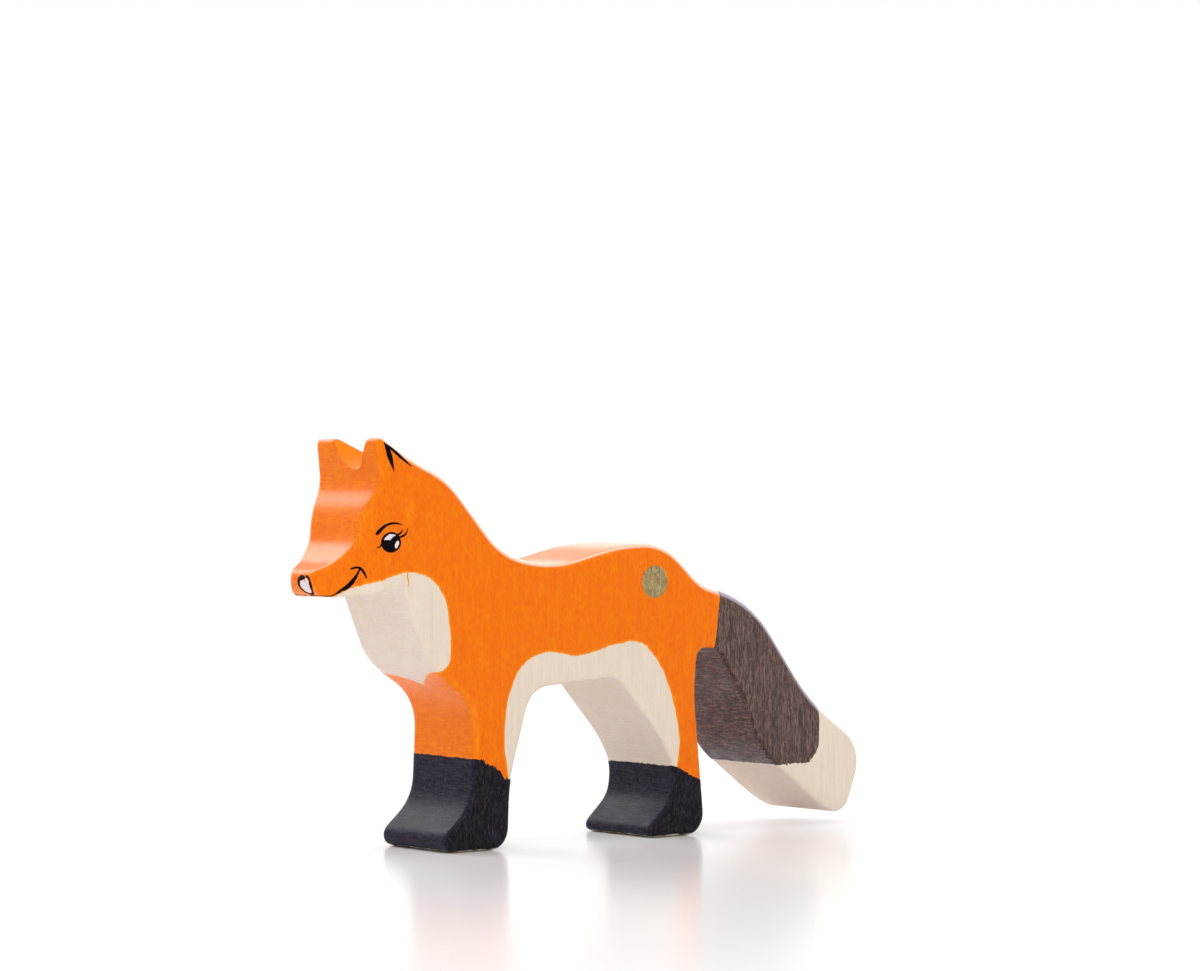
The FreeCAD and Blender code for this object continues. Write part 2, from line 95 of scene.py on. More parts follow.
class Seed(IntEnum):
    """Random field that each drifting edge follows."""

    FRONT_SOCK = 11
    FRONT_SOLE = 12
    REAR_SOCK = 13
    REAR_SOLE = 14
    TAIL = 15
    ORANGE = 16
    SOCK_SPIKES = 31
    TAIL_SPIKES = 32
    STROKES = 41
    EYE = 42
    EYE_WHITE = 43
    NOSE = 51
    GOLD_SPOT = 61


# How deep every film is sunk into the wood, and over what width along its border it thins out to what share.
FILM_SUNK = 0.03 * MM
FILM_BORDER = 0.30 * MM
FILM_BORDER_SHARE = 0.35

# Outline of the figure in the side view. Each row gives a corner as a share of the figure's length from the
# nose and of its height from the soles, how much of the shorter run the corner's rounding takes up, and the
# sanding of the arris there as a share of the usual arris.
FIGURE_SHARES: Rows = (
    (0.000, 0.650, 0.47, 0.55), (0.016, 0.619, 0.43, 0.55), (0.123, 0.638, 0.09, 0.80),
    (0.165, 0.458, 0.30, 1.20), (0.254, 0.361, 0.40, 1.20), (0.249, 0.116, 0.31, 1.00),
    (0.169, 0.000, 0.43, 0.80), (0.311, 0.000, 0.30, 0.80), (0.315, 0.164, 0.35, 0.90),
    (0.353, 0.391, 0.23, 0.60), (0.513, 0.410, 0.15, 0.50), (0.602, 0.244, 0.40, 0.50),
    (0.625, 0.170, 0.40, 0.60), (0.620, 0.094, 0.40, 0.70), (0.559, 0.000, 0.33, 0.80),
    (0.686, 0.000, 0.28, 0.80), (0.666, 0.358, 0.35, 1.00), (0.671, 0.477, 0.46, 0.80),
    (0.710, 0.477, 0.40, 0.70), (0.769, 0.330, 0.32, 0.60), (0.797, 0.206, 0.46, 0.60),
    (0.916, 0.058, 0.50, 0.80), (0.971, 0.015, 0.50, 0.90), (1.014, 0.197, 0.39, 1.10),
    (0.899, 0.331, 0.34, 1.30), (0.782, 0.587, 0.55, 1.30), (0.680, 0.638, 0.19, 1.50),
    (0.609, 0.744, 0.47, 1.40), (0.526, 0.737, 0.38, 1.20), (0.396, 0.684, 0.50, 1.00),
    (0.304, 0.719, 0.44, 1.50), (0.206, 0.903, 0.40, 1.50), (0.139, 0.951, 0.31, 1.30),
    (0.078, 1.011, 0.20, 0.80), (0.086, 0.887, 0.37, 1.00), (0.062, 0.824, 0.40, 1.00),
    (0.057, 0.752, 0.36, 0.80), (0.030, 0.704, 0.33, 0.65), (0.000, 0.680, 0.47, 0.55),
)

# Edges of the painted fields in the side view, with rows as above but no arris.
BIB_SHARES: Rows = (
    (-0.050, 0.621, 0.00), (0.004, 0.622, 0.00), (0.029, 0.622, 0.40), (0.046, 0.643, 0.35),
    (0.083, 0.659, 0.30), (0.131, 0.683, 0.40), (0.172, 0.668, 0.40), (0.197, 0.618, 0.40),
    (0.207, 0.525, 0.40), (0.205, 0.458, 0.40), (0.188, 0.437, 0.30), (-0.050, 0.437, 0.00),
)
BELLY_SHARES: Rows = (
    (0.312, -0.060, 0.00), (0.310, 0.170, 0.20), (0.302, 0.262, 0.40), (0.309, 0.378, 0.40),
    (0.336, 0.455, 0.40), (0.382, 0.483, 0.40), (0.441, 0.462, 0.40), (0.494, 0.487, 0.40),
    (0.557, 0.503, 0.40), (0.596, 0.442, 0.40), (0.622, 0.345, 0.40), (0.635, 0.249, 0.40),
    (0.628, 0.177, 0.30), (0.619, -0.060, 0.00),
)
FRONT_SOCK_SHARES: Rows = (
    (0.100, -0.060, 0.00), (0.100, 0.228, 0.00), (0.256, 0.226, 0.20), (0.283, 0.205, 0.30),
    (0.311, 0.170, 0.30), (0.332, 0.163, 0.00), (0.380, 0.163, 0.00), (0.380, -0.060, 0.00),
)
REAR_SOCK_SHARES: Rows = (
    (0.520, -0.060, 0.00), (0.520, 0.182, 0.00), (0.620, 0.180, 0.30), (0.641, 0.168, 0.30),
    (0.664, 0.146, 0.30), (0.698, 0.136, 0.00), (0.720, 0.136, 0.00), (0.720, -0.060, 0.00),
)
TAIL_SHARES: Rows = (
    (0.7165, 0.700, 0.00), (0.7125, 0.600, 0.30), (0.7065, 0.520, 0.30), (0.7030, 0.480, 0.30),
    (0.7060, 0.430, 0.00), (0.7060, 0.166, 0.00), (0.8600, 0.166, 0.20), (0.8990, 0.168, 0.40),
    (0.9155, 0.205, 0.40), (0.9165, 0.285, 0.30), (0.9120, 0.340, 0.20), (0.9080, 0.700, 0.00),
)
TAIL_BARE_SHARES: Rows = (
    (0.7200, 0.700, 0.00), (0.7140, 0.582, 0.30), (0.7080, 0.497, 0.30), (0.7080, 0.436, 0.00),
    (0.7080, -0.060, 0.00), (1.0800, -0.060, 0.00), (1.0800, 0.700, 0.00),
)

# Columns of the skin across the board's middle part: first and last, as shares of half its width, and how
# many. They are close together where the groove between the ears lies.
MIDDLE_COLUMN_SHARES = ((-1, -0.74, 4), (-0.70, 0.56, 32), (0.62, 1, 6))

# Groove between the ears, seen from the front: shares of its width from the board's middle and of its depth
# below the ear tips, and rounding.
EAR_GROOVE_SHARES: Rows = (
    (-0.66, -0.30, 0.00), (-0.50, 0.36, 0.30), (-0.42, 1.01, 0.45), (-0.16, 1.04, 0.45),
    (0.17, 0.73, 0.40), (0.48, -0.20, 0.00),
)

# Brush strokes in the side view: share of length, share of height, and width there in millimetres.
BROW_STROKE: Rows = (
    (0.0790, 0.7715, 0.45), (0.0815, 0.7768, 0.60), (0.0862, 0.7852, 0.58), (0.0935, 0.7928, 0.46),
    (0.1030, 0.7965, 0.42), (0.1130, 0.7962, 0.34), (0.1222, 0.7925, 0.18),
)
LASH_STROKES: tuple[Rows, ...] = (
    (
        (0.1090, 0.7660, 0.50), (0.1150, 0.7710, 0.42), (0.1190, 0.7752, 0.36),
        (0.1218, 0.7820, 0.20),
    ),
    (
        (0.1095, 0.7640, 0.46), (0.1170, 0.7640, 0.40), (0.1232, 0.7675, 0.40),
        (0.1278, 0.7735, 0.34), (0.1306, 0.7850, 0.20),
    ),
    (
        (0.0895, 0.7560, 0.40), (0.0860, 0.7480, 0.38), (0.0825, 0.7412, 0.32),
        (0.0782, 0.7380, 0.20),
    ),
)
SMILE_STROKE: Rows = (
    (0.0020, 0.6300, 0.10), (0.0110, 0.6268, 0.14), (0.0220, 0.6250, 0.18), (0.0285, 0.6290, 0.26),
    (0.0360, 0.6385, 0.44), (0.0430, 0.6465, 0.66), (0.0490, 0.6580, 0.66), (0.0540, 0.6720, 0.44),
    (0.0580, 0.6870, 0.30),
)
CHEEK_STROKE: Rows = (
    (0.0478, 0.6890, 0.34), (0.0535, 0.6922, 0.40), (0.0583, 0.6910, 0.42), (0.0631, 0.6815, 0.42),
    (0.0664, 0.6680, 0.28),
)
EAR_STROKES: tuple[Rows, ...] = (
    (
        (0.0895, 0.9890, 0.30), (0.0945, 0.9750, 0.80), (0.0985, 0.9590, 1.00),
        (0.1025, 0.9400, 0.70), (0.1065, 0.9200, 0.20),
    ),
    (
        (0.0900, 0.9870, 0.20), (0.1000, 0.9770, 0.50), (0.1130, 0.9615, 0.62),
        (0.1260, 0.9450, 0.44), (0.1370, 0.9325, 0.16),
    ),
)

# Eye, with its place as shares of length and height. The corners of its white fields are shares of the eye's
# width and height from its middle.
EYE_PLACE_SHARES = (0.1013, 0.7515)
EYE_WIDTH = 4.90 * MM
EYE_HEIGHT = 4.20 * MM
EYE_CRESCENT_SHARES: Rows = (
    (-0.43, 0.05, 0.20), (-0.34, 0.27, 0.40), (-0.08, 0.44, 0.40), (0.17, 0.42, 0.35),
    (0.29, 0.31, 0.20), (0.10, 0.23, 0.40), (-0.03, 0.06, 0.30), (-0.22, 0.07, 0.35),
)
EYE_GLINT_SHARES: Rows = (
    (0.15, -0.32, 0.40), (0.12, -0.10, 0.40), (0.25, 0.11, 0.40), (0.41, 0.09, 0.40),
    (0.43, -0.08, 0.40), (0.30, -0.33, 0.40),
)

# Nose seen from the front: millimetres from the board's middle towards the right flank, share of height, and
# rounding or, in the tick at the top of its outline, width in millimetres.
NOSE_OUTER: Rows = (
    (-1.14, 0.6735, 0.40), (-0.10, 0.6760, 0.40), (0.66, 0.6680, 0.40), (1.08, 0.6580, 0.40),
    (0.98, 0.6440, 0.40), (0.30, 0.6330, 0.40), (-0.90, 0.6255, 0.40), (-2.70, 0.6270, 0.35),
    (-3.72, 0.6420, 0.40), (-3.62, 0.6570, 0.40), (-3.05, 0.6705, 0.40), (-2.10, 0.6760, 0.40),
    (-1.60, 0.6700, 0.30),
)
NOSE_INNER: Rows = (
    (-0.95, 0.6615, 0.40), (-0.10, 0.6610, 0.40), (0.30, 0.6480, 0.40), (-0.30, 0.6360, 0.40),
    (-1.45, 0.6310, 0.40), (-2.50, 0.6335, 0.40), (-2.95, 0.6470, 0.40), (-2.85, 0.6610, 0.40),
    (-2.15, 0.6695, 0.40),
)
NOSE_TICK: Rows = (
    (-1.62, 0.6730, 0.50), (-1.58, 0.6665, 0.36), (-1.50, 0.6600, 0.16),
)

# Stray streak of orange that runs down into the bib, with rows as in the strokes.
BIB_STREAK: Rows = (
    (0.1308, 0.6850, 0.10), (0.1300, 0.6680, 0.26), (0.1318, 0.6560, 0.20), (0.1306, 0.6430, 0.08),
)

# How far the bare bib's foot hangs down the front of the chest below its height on the flanks: millimetres
# from the board's middle towards the right flank, and millimetres of drop.
BIB_FOOT_DROPS: Rows = (
    (-10.64, 0.00), (-8.68, 0.05), (-6.72, 0.38), (-4.24, 1.11), (-1.98, 2.05), (0.20, 3.09),
    (1.38, 2.71), (2.80, 2.03), (4.60, 1.58), (6.28, 1.22), (8.70, 1.10), (11.00, 0.90),
)

# Middle of the gold spot, as shares of length and height, and its radius.
GOLD_SPOT_SHARES = (0.585, 0.646)
GOLD_SPOT_RADIUS = 3.5 * MM


def unit(vectors: Array) -> Array:
    """Vectors of length one, along the last axis."""
    return vectors / np.maximum(np.linalg.norm(vectors, axis=-1, keepdims=True), LEAST_LENGTH)


def smooth_step(values: Array, low: float, high: float) -> Array:
    """Smooth rise from 0 at the low value to 1 at the high one."""
    share = np.clip((values - low) / (high - low), 0, 1)
    return share * share * (3 - 2 * share)


def soft_min(first: Array, second: Array, blend: float) -> Array:
    """Smaller of two values, with a rounded change from one to the other."""
    overlap = np.maximum(blend - np.abs(first - second), 0) / blend
    return np.minimum(first, second) - overlap * overlap * blend / 4


def tangent_arc(corner: Array, start: Array, end: Array, steps: int = 8) -> Array:
    """Arc that rounds a corner.

    Args:
        corner: place of the corner.
        start: where the arc leaves the first edge.
        end: where it joins the second edge, as far from the corner as the start.
        steps: pieces that the arc is divided into.

    Returns:
        Places along the arc.
    """
    to_start = start - corner
    to_end = end - corner
    reach = np.linalg.norm(to_start)
    half_angle = math.acos(np.clip(to_start @ to_end / reach**2, -1, 1)) / 2
    centre = corner + unit(to_start + to_end) * reach / math.cos(half_angle)
    first = math.atan2(*(start - centre)[::-1])
    second = math.atan2(*(end - centre)[::-1])
    turn = (second - first + math.pi) % (2 * math.pi) - math.pi
    angles = first + turn * np.linspace(0, 1, steps + 1)
    return centre + reach * math.tan(half_angle) * np.column_stack((np.cos(angles), np.sin(angles)))


def rounded_line(corners: Array, roundings: Sequence[float], closed: bool = True) -> Array:
    """Line through corners, each rounded by an arc.

    Args:
        corners: places of the corners.
        roundings: share of the shorter neighbouring run that each arc takes up.
        closed: whether the last corner joins the first.

    Returns:
        Places along the line.
    """
    stretches = []
    last = len(corners) - 1
    for index, corner in enumerate(corners):
        before = corners[index - 1] - corner
        after = corners[(index + 1) % len(corners)] - corner
        reach = roundings[index] * min(np.linalg.norm(before), np.linalg.norm(after))
        if reach == 0 or (not closed and index in (0, last)):
            stretches.append(corner[None])
        else:
            start = corner + unit(before) * reach
            end = corner + unit(after) * reach
            stretches.append(tangent_arc(corner, start, end))
    return np.vstack(stretches)


def evenly_spaced(line: Array, step: float) -> Array:
    """Places at equal steps along a closed line.

    Args:
        line: corners of the line.
        step: distance between places, which is fitted to the line's length.

    Returns:
        The places.
    """
    path = np.vstack((line, line[:1]))
    lengths = np.concatenate(([0], np.cumsum(np.linalg.norm(np.diff(path, axis=0), axis=1))))
    count = int(round(lengths[-1] / step))
    at = np.linspace(0, lengths[-1], count, endpoint=False)
    return np.column_stack([np.interp(at, lengths, path[:, axis]) for axis in range(path.shape[1])])


def ring_smoothed(values: Array, reach: float) -> Array:
    """Values round a ring, each blended with its neighbours.

    Args:
        values: one value or row for each place of the ring.
        reach: how far the blending goes, counted in places.

    Returns:
        The blended values.
    """
    frequencies = np.fft.fftfreq(len(values))
    weights = np.exp(-2 * (math.pi * frequencies * reach) ** 2)
    if values.ndim > 1:
        weights = weights[:, None]
    return np.fft.ifft(np.fft.fft(values, axis=0) * weights, axis=0).real


def flowing_rows(rows: Array, steps: int = 6) -> Array:
    """Rows joined by a smooth curve through all of them, in every column.

    Args:
        rows: rows that the curve passes through.
        steps: pieces that the curve between two rows is divided into.

    Returns:
        Rows along the curve.
    """
    padded = np.vstack((2 * rows[0] - rows[1], rows, 2 * rows[-1] - rows[-2]))
    share = (np.arange(steps) / steps)[:, None]
    stretches = []
    for first, second, third, fourth in zip(padded, padded[1:], padded[2:], padded[3:]):
        rise = (third - first) / 2
        fall = (fourth - second) / 2
        gap = third - second
        bend = 3 * gap - 2 * rise - fall
        twist = rise + fall - 2 * gap
        stretches.append(second + rise * share + bend * share**2 + twist * share**3)
    return np.vstack((*stretches, rows[-1:]))


def line_depth(line: Array, places: Array) -> Array:
    """Distance of places from a closed line.

    Args:
        line: corners of the line.
        places: where the distance is wanted.

    Returns:
        Distances, positive inside the line and negative outside.
    """
    nearest = np.full(len(places), np.inf)
    inside = np.zeros(len(places), bool)
    for start, end in zip(line, np.roll(line, -1, axis=0)):
        run = end - start
        offset = places - start
        share = np.clip(offset @ run / max(run @ run, LEAST_SQUARE), 0, 1)
        nearest = np.minimum(nearest, np.sum((offset - share[:, None] * run) ** 2, axis=1))
        crosses = (start[1] > places[:, 1]) != (end[1] > places[:, 1])
        if run[1] != 0:
            inside ^= crosses & (offset[:, 0] < offset[:, 1] * run[0] / run[1])
    return np.where(inside, 1, -1) * np.sqrt(nearest)


def stroke_depth(rows: Array, places: Array) -> Array:
    """Depth of places inside a brush stroke.

    Args:
        rows: places along the stroke's middle line, each with half the stroke's width.
        places: where the depth is wanted.

    Returns:
        Depths, negative outside the stroke.
    """
    depth = np.full(len(places), -np.inf)
    for start, end in zip(rows[:-1], rows[1:]):
        run = (end - start)[:2]
        offset = places - start[:2]
        share = np.clip(offset @ run / max(run @ run, LEAST_SQUARE), 0, 1)
        gap = np.linalg.norm(offset - share[:, None] * run, axis=1)
        depth = np.maximum(depth, start[2] + share * (end[2] - start[2]) - gap)
    return depth


def drift(places: Array, cells: Sequence[float], seed: int) -> Array:
    """Smooth random values between -1 and 1 at places.

    Args:
        places: where the values are wanted.
        cells: how far apart independent values lie along each axis.
        seed: which of the endless random fields is used.

    Returns:
        One value for each place.
    """
    scaled = places / np.array(cells)
    corner = np.floor(scaled)
    blend = scaled - corner
    blend = blend * blend * (3 - 2 * blend)
    total = np.zeros(len(places))
    axes = places.shape[1]
    mixers = np.array(DRIFT_MIXERS)[:axes]
    for number in range(2**axes):
        offset = np.array([number >> axis & 1 for axis in range(axes)])
        mixed = np.sin((corner + offset) @ mixers + seed * DRIFT_SEED_STEP) * DRIFT_SPREAD
        weight = np.prod(np.where(offset == 1, blend, 1 - blend), axis=1)
        total += weight * (mixed - np.floor(mixed))
    return 2 * total - 1


@dataclass(frozen=True)
class Wobble:
    """Random straying of a drawn edge.

    Attributes:
        height: how far the edge strays at most.
        cells: how far apart independent values lie along each axis.
        seed: random field that the edge follows.
    """

    height: float
    cells: tuple[float, ...]
    seed: Seed

    def at(self, places: Array) -> Array:
        """Straying at places."""
        return self.height * drift(places, self.cells, self.seed)


@dataclass
class Skin:
    """Triangles of a surface, with values at their corners.

    Attributes:
        points: places of the corners.
        normals: directions in which the surface faces there.
        flank: 0 on the sawn edge of the board, 1 on its planed face, -1 in the groove between the ears.
        triangles: numbers of the corners of each triangle.
    """

    points: Array
    normals: Array
    flank: Array
    triangles: Array

    def side_view(self) -> Array:
        """Places of the corners in the side view."""
        return self.points[:, [0, 2]]

    def flank_depth(self, least: float) -> Array:
        """Depth of the corners inside the part whose flank value is above the least one."""
        return (self.flank - least) * MM

    def edges(self) -> tuple[Array, Array]:
        """Edges of the triangles.

        Returns:
            Ends of every edge, and the numbers of each triangle's three edges.
        """
        around = np.stack((self.triangles, np.roll(self.triangles, -1, axis=1)), axis=2).reshape(-1, 2)
        low = around.min(axis=1)
        high = around.max(axis=1)
        keys, numbers = np.unique(low * len(self.points) + high, return_inverse=True)
        pairs = np.column_stack((keys // len(self.points), keys % len(self.points)))
        return pairs, numbers.reshape(-1, 3)

    def chosen(self, keep: Array) -> "Skin":
        """Only some of the triangles, with their corners.

        Args:
            keep: whether each triangle is kept.

        Returns:
            The smaller skin.
        """
        triangles = self.triangles[keep]
        used, renumbered = np.unique(triangles, return_inverse=True)
        return Skin(self.points[used], self.normals[used], self.flank[used], renumbered.reshape(-1, 3))

    def with_points(self, pairs: Array, shares: Array, triangles: Array) -> "Skin":
        """The skin with new corners on its edges.

        Args:
            pairs: ends of each edge that gets a corner.
            shares: how far along its edge each corner lies.
            triangles: triangles that use the old corners and the new ones after them.

        Returns:
            The new skin.
        """
        first = pairs[:, 0]
        second = pairs[:, 1]
        share = shares[:, None]
        points = self.points[first] * (1 - share) + self.points[second] * share
        normals = unit(self.normals[first] * (1 - share) + self.normals[second] * share)
        flank = self.flank[first] * (1 - shares) + self.flank[second] * shares
        return Skin(
            np.vstack((self.points, points)),
            np.vstack((self.normals, normals)),
            np.concatenate((self.flank, flank)),
            triangles,
        )

    def halved(self, pairs: Array, numbers: Array, marked: Array) -> "Skin":
        """The skin with some edges halved, and their triangles divided to match.

        Args:
            pairs: ends of every edge.
            numbers: numbers of each triangle's three edges.
            marked: whether each edge is halved.

        Returns:
            The finer skin.
        """
        middles = np.full(len(pairs), -1)
        middles[marked] = len(self.points) + np.arange(marked.sum())
        middle = middles[numbers]
        count = (middle >= 0).sum(axis=1)
        corner = self.triangles
        parts = [corner[count == 0]]
        a, b, c, first, _, _ = turned(corner, middle, count == 1, (middle >= 0).argmax(axis=1))
        parts += [np.column_stack((a, first, c)), np.column_stack((first, b, c))]
        a, b, c, first, second, _ = turned(corner, middle, count == 2, (middle < 0).argmax(axis=1) + 1)
        parts += [
            np.column_stack((first, b, second)),
            np.column_stack((a, first, second)),
            np.column_stack((a, second, c)),
        ]
        a, b, c, first, second, third = turned(corner, middle, count == 3, np.zeros(len(corner), int))
        parts += [
            np.column_stack((a, first, third)),
            np.column_stack((first, b, second)),
            np.column_stack((third, second, c)),
            np.column_stack((first, second, third)),
        ]
        return self.with_points(pairs[marked], np.full(marked.sum(), 0.5), np.vstack(parts))

    def from_point(self, first: int) -> "Skin":
        """Corners of the skin from a number on, without triangles."""
        return Skin(self.points[first:], self.normals[first:], self.flank[first:], self.triangles[:0])

    def finer(self, depth_at: "Field", cell: float, margin: float, passes: int = 7) -> tuple["Skin", Array]:
        """The skin with short edges near the border of a field.

        Args:
            depth_at: depth of the skin's corners inside the field.
            cell: longest edge that stays near the border.
            margin: how far from the border edges are still halved.
            passes: most times that an edge is halved.

        Returns:
            The refined skin, and the depth of its corners.
        """
        skin = self
        depth = depth_at(skin)
        for _ in range(passes):
            pairs, numbers = skin.edges()
            lengths = np.linalg.norm(skin.points[pairs[:, 0]] - skin.points[pairs[:, 1]], axis=1)
            marked = (np.abs(depth[pairs]).min(axis=1) < lengths + margin) & (lengths > cell)
            if not marked.any():
                break
            skin = skin.halved(pairs, numbers, marked)
            depth = np.concatenate((depth, depth_at(skin.from_point(len(depth)))))
        return skin, depth

    def cut(self, depth: Array) -> tuple["Skin", Array]:
        """The part of the skin that lies inside a field.

        Args:
            depth: depth of the skin's corners inside the field.

        Returns:
            The part, and the depth of its corners.
        """
        pairs, numbers = self.edges()
        ends = depth[pairs]
        crossed = (ends[:, 0] > 0) != (ends[:, 1] > 0)
        middles = np.full(len(pairs), -1)
        middles[crossed] = len(self.points) + np.arange(crossed.sum())
        middle = middles[numbers]
        corner = self.triangles
        inside = depth[corner] > 0
        count = inside.sum(axis=1)
        parts = [corner[count == 3]]
        a, _, _, first, _, third = turned(corner, middle, count == 1, inside.argmax(axis=1))
        parts.append(np.column_stack((a, first, third)))
        a, b, _, _, second, third = turned(corner, middle, count == 2, (~inside).argmax(axis=1) + 1)
        parts += [np.column_stack((a, b, second)), np.column_stack((a, second, third))]
        shares = ends[crossed, 0] / (ends[crossed, 0] - ends[crossed, 1])
        skin = self.with_points(pairs[crossed], shares, np.vstack(parts))
        depths = np.concatenate((np.maximum(depth, 0), np.zeros(crossed.sum())))
        used = np.unique(skin.triangles)
        return skin.chosen(np.ones(len(skin.triangles), bool)), depths[used]

    def film(self, depth: Array, cover: Cover) -> tuple[Array, Array]:
        """Closed thin solid over the skin, thinnest along its border.

        Args:
            depth: distance of the skin's corners from the border.
            cover: how far the film stands off the skin.

        Returns:
            Places and triangles of the film, its outer corners first.
        """
        rise = smooth_step(depth, 0, FILM_BORDER)
        height = cover.value * (FILM_BORDER_SHARE + (1 - FILM_BORDER_SHARE) * rise)
        outer = self.points + self.normals * height[:, None]
        points = np.vstack((outer, self.points - self.normals * FILM_SUNK))
        count = len(self.points)
        around = np.stack((self.triangles, np.roll(self.triangles, -1, axis=1)), axis=2).reshape(-1, 2)
        keys = around.min(axis=1) * count + around.max(axis=1)
        _, first, uses = np.unique(keys, return_index=True, return_counts=True)
        start, end = around[first[uses == 1]].T
        walls = np.vstack((
            np.column_stack((start, start + count, end + count)),
            np.column_stack((start, end + count, end)),
        ))
        return points, np.vstack((self.triangles, self.triangles[:, ::-1] + count, walls))


Field = Callable[[Skin], Array]


def turned(corner: Array, middle: Array, where: Array, start: Array) -> tuple[Array, ...]:
    """Corners and edge middles of some triangles, each told from its own starting corner.

    Args:
        corner: corners of all triangles.
        middle: middles of their edges.
        where: whether each triangle is wanted.
        start: which of its corners each triangle is told from.

    Returns:
        Three columns of corners, and three of edge middles.
    """
    rows = np.flatnonzero(where)
    order = (start[rows, None] + np.arange(3)) % 3
    corners = corner[rows[:, None], order]
    middles = middle[rows[:, None], order]
    return (*corners.T, *middles.T)


@dataclass(frozen=True)
class Board:
    """Overall sizes of the sawn figure, read from the frame.

    Attributes:
        nose: X of the nose's tip.
        length: nose to tail end.
        height: soles to ear tips.
        half: half of the board's thickness.
        stroke_spread: how much wider a stroke dries than the brush that its rows describe.
    """

    nose: float
    length: float
    height: float
    half: float
    stroke_spread: float = 1.35

    @classmethod
    def from_frame(cls) -> "Board":
        """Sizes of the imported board."""
        low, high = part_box("wood_blank")
        return cls(low.x, high.x - low.x, high.z - low.z, high.y)

    def side(self, rows: Rows) -> Array:
        """Places in the side view that rows of shares name."""
        shares = np.array([row[:2] for row in rows])
        return np.column_stack((self.nose + shares[:, 0] * self.length, shares[:, 1] * self.height))

    def outline(self, rows: Rows) -> Array:
        """Closed rounded line in the side view."""
        return rounded_line(self.side(rows), [row[2] for row in rows])

    def stroke(self, rows: Rows) -> Array:
        """Middle line and half width of a brush stroke in the side view."""
        widths = np.array([row[2] for row in rows]) * MM / 2
        return flowing_rows(np.column_stack((self.side(rows), self.stroke_spread * widths)))


